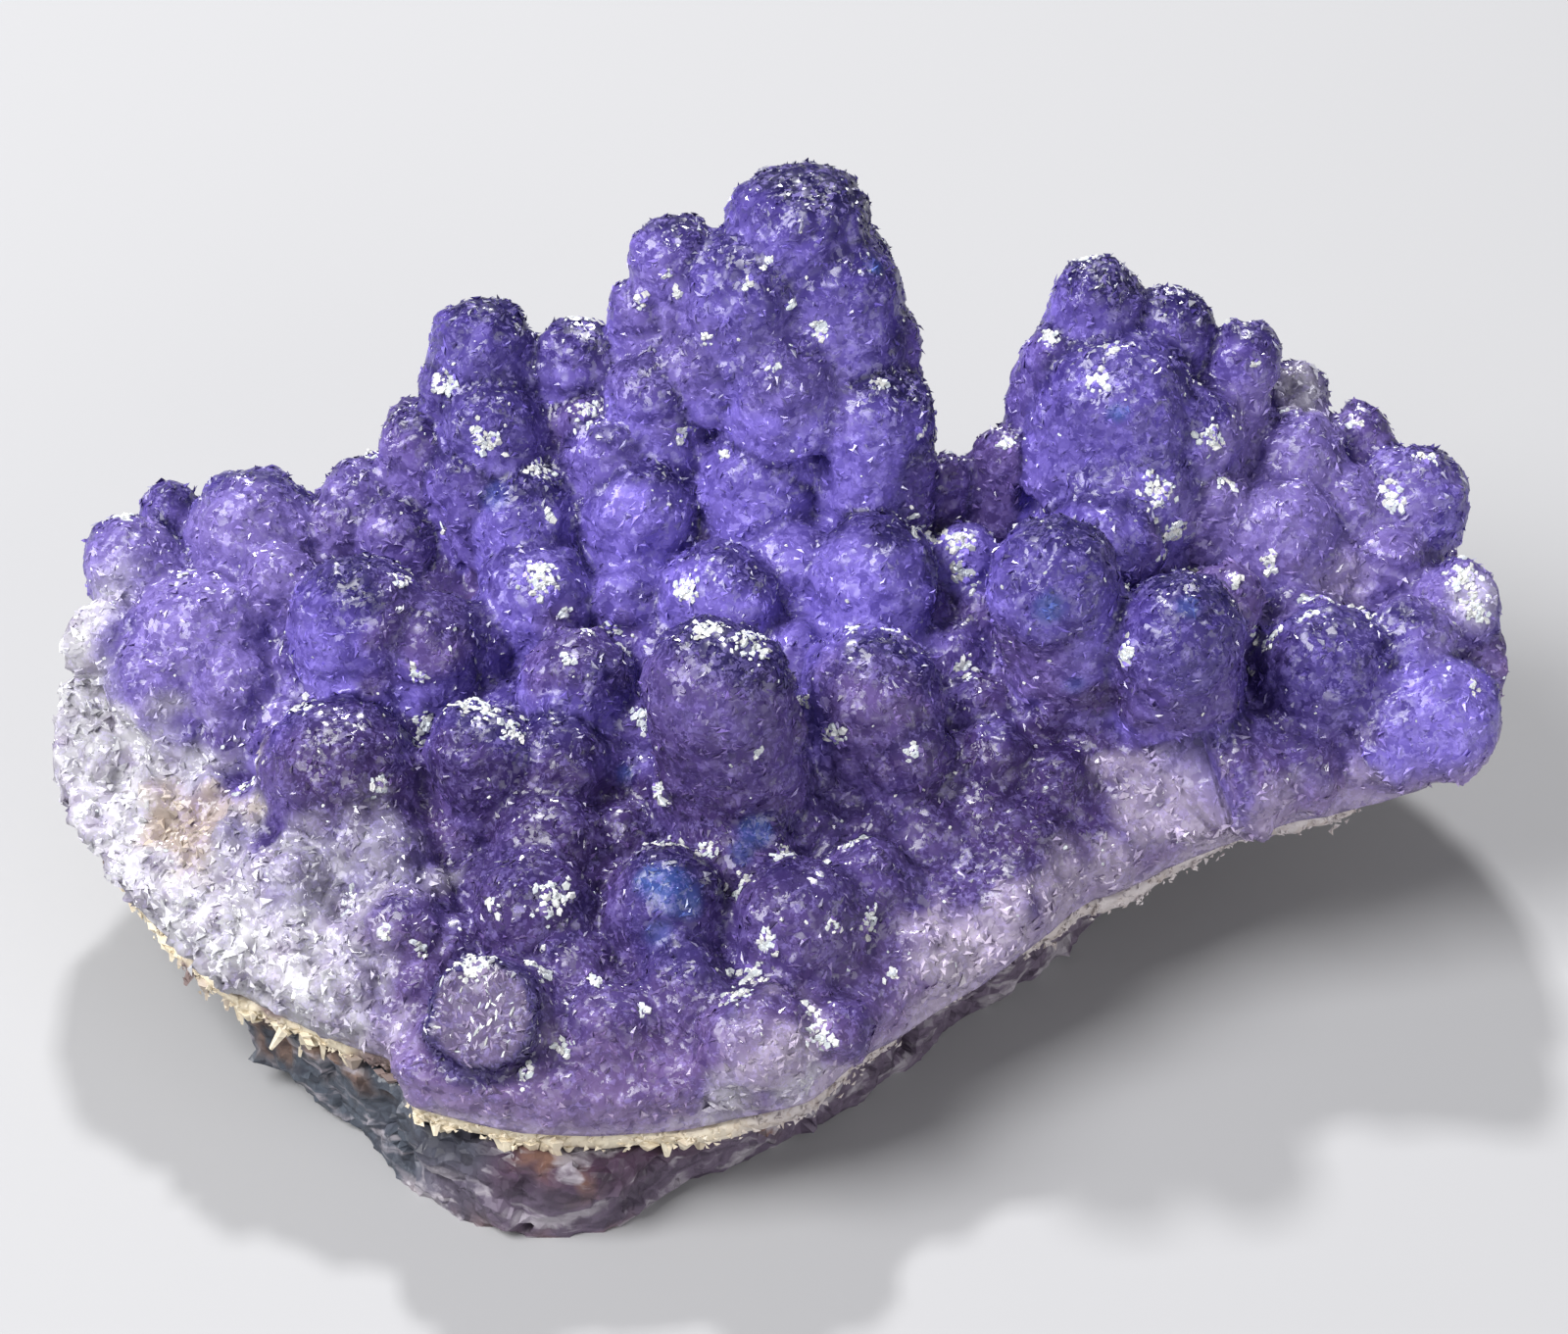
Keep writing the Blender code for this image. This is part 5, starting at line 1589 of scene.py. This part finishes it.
def facets(tree, here, scale, tilt):
    inputs = {"Vector": here, "Scale": scale, "Tilt": tilt}
    return add_node(tree, "Group", inputs, node_tree=GLINTS).outputs


def bumped(tree, height, normal, strength, distance):
    inputs = {"Height": height, "Normal": normal, "Strength": strength, "Distance": distance * MM}
    return add_node(tree, "Bump", inputs).outputs[0]


def shaded(tree, base, value, high, most, shade, low=0.0):
    """Darkens a colour with a shade: most of it up to low, and none of it from high."""
    return mix_colours(tree, stepped(tree, value, low, high, most, 0.0), base, shade, "MULTIPLY")


def finish(tree, shader, base, glint, roughness, normal=None, plain=None):
    """Feeds the shader: a colour, a roughness between two values for each facet, and plain values."""
    tree.links.new(base, shader.inputs["Base Color"])
    tree.links.new(stepped(tree, glint["Second"], 0.0, 1.0, *roughness), shader.inputs["Roughness"])
    if normal is not None:
        tree.links.new(normal, shader.inputs["Normal"])
    for name, value in (plain or {}).items():
        shader.inputs[name].default_value = value


def dress(material, *pieces):
    """Gives pieces a material, and no other."""
    for piece in pieces:
        piece.data.materials.clear()
        piece.data.materials.append(material)
    print(material.name + ":", ", ".join(piece.name for piece in pieces))


print("helpers:", ", ".join(helper.__name__ for helper in (attribute, crumpled, facets, bumped, shaded)))

# %% [markdown]
# ### Violet fluorite
#
# The skin between the crystals: its tint comes from the knobs, the valleys of the relief are painted darker
# as shade, and the ridges of frosted caps are painted pale as glints. Facets that lean at random break up
# the highlights.

# %% Fluorite skin
FLUORITE_IOR = 1.434
SKIN_SHADE, PALE_SHADE = (0.34, 0.30, 0.50, 1), (0.50, 0.47, 0.55, 1)
LIT_FACETS, GLINTING_RIDGES = (0.17, 0.14, 0.34, 1), (0.48, 0.50, 0.55, 1)


def fluorite_skin():
    material, tree, shader, here = new_material("violet fluorite skin")
    height, large_height = crumpled(tree, here, 1500.0), crumpled(tree, here, 450.0)
    glint, small_glint = facets(tree, here, 1900.0, 0.6), facets(tree, here, 3300.0, 0.5)
    frost = attribute(tree, "frost")
    shade = mix_colours(tree, attribute(tree, "pale"), SKIN_SHADE, PALE_SHADE)
    # Some facets are darker by chance, the valleys are painted darker as shade, and a few facets are painted
    # lighter as sparkle, most of all on the caps
    contrast = stepped(tree, frost, 0.0, 0.8, 0.62, 1.0)
    base = attribute(tree, "tint", "Color")
    for value, low, high in ((glint["Chance"], 0.1, 0.6), (height, 0.15, 0.60)):
        dark = product(tree, stepped(tree, value, low, high, 0.85, 0.0), contrast)
        base = mix_colours(tree, dark, base, shade, "MULTIPLY")
    light = product(tree, stepped(tree, small_glint["Chance"], 0.6, 1.0, 0.0, 0.75), contrast)
    base = mix_colours(tree, light, base, LIT_FACETS, "ADD")
    # The frosted caps carry thin grey ridges, painted as glints
    ridges = product(tree, stepped(tree, small_glint["Second"], 0.5, 0.7), stepped(tree, height, 0.3, 0.6))
    ridges = product(tree, product(tree, ridges, frost), 0.7)
    base = mix_colours(tree, ridges, base, GLINTING_RIDGES)
    both = add_node(tree, "Math", {0: height, 1: product(tree, large_height, 1.4)}, operation="ADD")
    normal = bumped(tree, both.outputs[0], glint["Normal"], 1.0, 0.2)
    plain = {"IOR": FLUORITE_IOR, "Specular IOR Level": 0.55}
    finish(tree, shader, base, glint, (0.12, 0.45), normal, plain)
    return material


dress(fluorite_skin(), crust)


# %% Crystal faces
def crystal_faces():
    material, tree, shader, here = new_material("small crystal faces")
    glint = facets(tree, here, 3600.0, 0.3)
    base = shaded(tree, attribute(tree, "tint", "Color"), glint["Chance"], 0.6, 0.6, (0.45, 0.42, 0.60, 1))
    finish(tree, shader, base, glint, (0.12, 0.4), plain={"IOR": FLUORITE_IOR, "Specular IOR Level": 1.0})
    return material


def glitter_faces():
    material, tree, shader, here = new_material("bright crystal faces")
    glint = facets(tree, here, 3000.0, 0.5)
    base = shaded(tree, attribute(tree, "tint", "Color"), glint["Chance"], 0.5, 0.45, (0.50, 0.50, 0.62, 1))
    plain = {"Coat Weight": 0.6, "Coat Roughness": 0.08}
    finish(tree, shader, base, glint, (0.1, 0.35), glint["Normal"], plain)
    return material


dress(crystal_faces(), skin)
dress(glitter_faces(), glints)

# %% [markdown]
# ### Seam and host rock
#
# Both are matt and grainy. Noise stains the seam here and there, and its hollows are painted darker and
# warmer, as shade. The rock has streaks, lighter and darker than the rest, which lie along its layers.


# %% Cream seam
def cream_seam():
    material, tree, shader, here = new_material("cream seam")
    height, glint = crumpled(tree, here, 1100.0), facets(tree, here, 1900.0, 0.4)
    stain = add_node(tree, "TexNoise", {"Vector": here, "Scale": 130.0, "Detail": 3.0}).outputs[0]
    stained = stepped(tree, stain, 0.35, 0.65, 0.0, 0.5)
    tint = attribute(tree, "tint", "Color")
    base = mix_colours(tree, stained, tint, (0.86, 0.84, 0.80, 1), "MULTIPLY")
    base = shaded(tree, base, glint["Chance"], 0.45, 0.5, (0.72, 0.64, 0.54, 1))
    # Painted shade: the hollows of the relief are darker and warmer
    base = shaded(tree, base, height, 0.6, 0.4, (0.72, 0.62, 0.50, 1), low=0.1)
    finish(tree, shader, base, glint, (0.35, 0.8), bumped(tree, height, glint["Normal"], 0.8, 0.2))
    return material


dress(cream_seam(), seam, seam_grains, seam_teeth)

# %% Host rock
LAYER_TURN, LAYER_SQUEEZE = (0.2, 0.25, 0), (1, 1, 2.6)
LIGHT_STREAK, DARK_STREAK = (0.40, 0.37, 0.41, 1), (0.35, 0.32, 0.38, 1)


def host_rock():
    material, tree, shader, here = new_material("host rock")
    height, glint = crumpled(tree, here, 900.0), facets(tree, here, 1500.0, 0.5)
    # The streaks lie along the layers
    inputs = {"Vector": here, "Rotation": LAYER_TURN, "Scale": LAYER_SQUEEZE}
    layered = add_node(tree, "Mapping", inputs).outputs[0]
    inputs = {"Vector": layered, "Scale": 260.0, "Detail": 4.0, "Distortion": 0.9}
    streaks = add_node(tree, "TexNoise", inputs).outputs[0]
    light = stepped(tree, streaks, 0.53, 0.62, 0.0, 0.75)
    base = mix_colours(tree, light, attribute(tree, "tint", "Color"), LIGHT_STREAK)
    base = shaded(tree, base, streaks, 0.46, 0.7, DARK_STREAK, low=0.36)
    base = shaded(tree, base, glint["Chance"], 0.5, 0.6, (0.45, 0.42, 0.46, 1))
    finish(tree, shader, base, glint, (0.3, 0.8), bumped(tree, height, glint["Normal"], 0.9, 0.3))
    return material


dress(host_rock(), rock)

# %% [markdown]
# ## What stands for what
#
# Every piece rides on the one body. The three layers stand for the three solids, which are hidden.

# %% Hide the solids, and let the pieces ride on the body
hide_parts("fluorite_crust")
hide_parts("pale_seam")
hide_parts("host_rock")
pieces = (
    (crust, "violet_fluorite"),
    (skin, "violet_fluorite"),
    (glints, "violet_fluorite"),
    (seam, "cream_seam"),
    (seam_grains, "cream_seam"),
    (seam_teeth, "cream_seam"),
    (rock, "dark_host_rock"),
)
for piece, slot in pieces:
    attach(piece, "root")
print(len(pieces), "pieces ride on root")

# %% [markdown]
# ## Floor, light and camera
#
# The floor is plain and pale. One large soft light does most of the work, and a wider one fills the
# shadows. A small lamp, high up behind, is what makes the crystals flash.

# %% Floor
FLOOR_SIZE = 1.5
FLOOR_GREY = (0.38, 0.38, 0.39, 1)

bm = bmesh.new()
bmesh.ops.create_grid(bm, x_segments=1, y_segments=1, size=FLOOR_SIZE)
floor = in_scene("floor", mesh_of("floor", bm))
floor_material, _, shader, _ = new_material("pale floor")
shader.inputs["Base Color"].default_value = FLOOR_GREY
shader.inputs["Roughness"].default_value = 0.9
dress(floor_material, floor)
print("the floor is", 2 * FLOOR_SIZE, "m wide")

# %% Lights
# Name, place in metres, width in metres and power in watts
LIGHTS = (
    ("large_soft_light", (-0.35, -0.15, 0.50), 0.35, 5.4),
    ("fill_light", (0.40, -0.50, 0.25), 0.5, 2.0),
    ("small_lamp", (-0.05, 0.40, 0.50), 0.06, 3.5),
)
LIT_POINT = Vector((0, 0, 0.018))
ROOM_COLOUR, ROOM_STRENGTH = (0.97, 0.97, 1.0, 1), 0.24

for name, place, width, power in LIGHTS:
    lamp = bpy.data.lights.new(name, "AREA")
    lamp.size = width
    lamp.energy = power
    light = in_scene(name, lamp)
    light.location = place
    light.rotation_euler = (LIT_POINT - Vector(place)).to_track_quat("-Z", "Y").to_euler()
world = bpy.data.worlds.new("soft_room")
bpy.context.scene.world = world
world.use_nodes = True
background = world.node_tree.nodes["Background"]
background.inputs["Color"].default_value = ROOM_COLOUR
background.inputs["Strength"].default_value = ROOM_STRENGTH
bpy.context.scene.view_settings.view_transform = "Standard"
print(len(LIGHTS), "lights and a pale room")

# %% Camera
PICTURE_WIDTH = 96.0
SENSOR = 36.0
CLIP_START = 0.001

camera_data = bpy.data.cameras.new("camera")
camera_data.sensor_width = SENSOR
camera_data.lens = SENSOR * SIGHT_DISTANCE / PICTURE_WIDTH
camera_data.clip_start = CLIP_START
camera = in_scene("camera", camera_data)
camera.location = (EYE + TO_FOOTPRINT_MIDDLE) * MM
camera.rotation_euler = (-TOWARDS_EYE).to_track_quat("-Z", "Y").to_euler()
bpy.context.scene.camera = camera
print("lens:", round(camera_data.lens, 1), "mm")
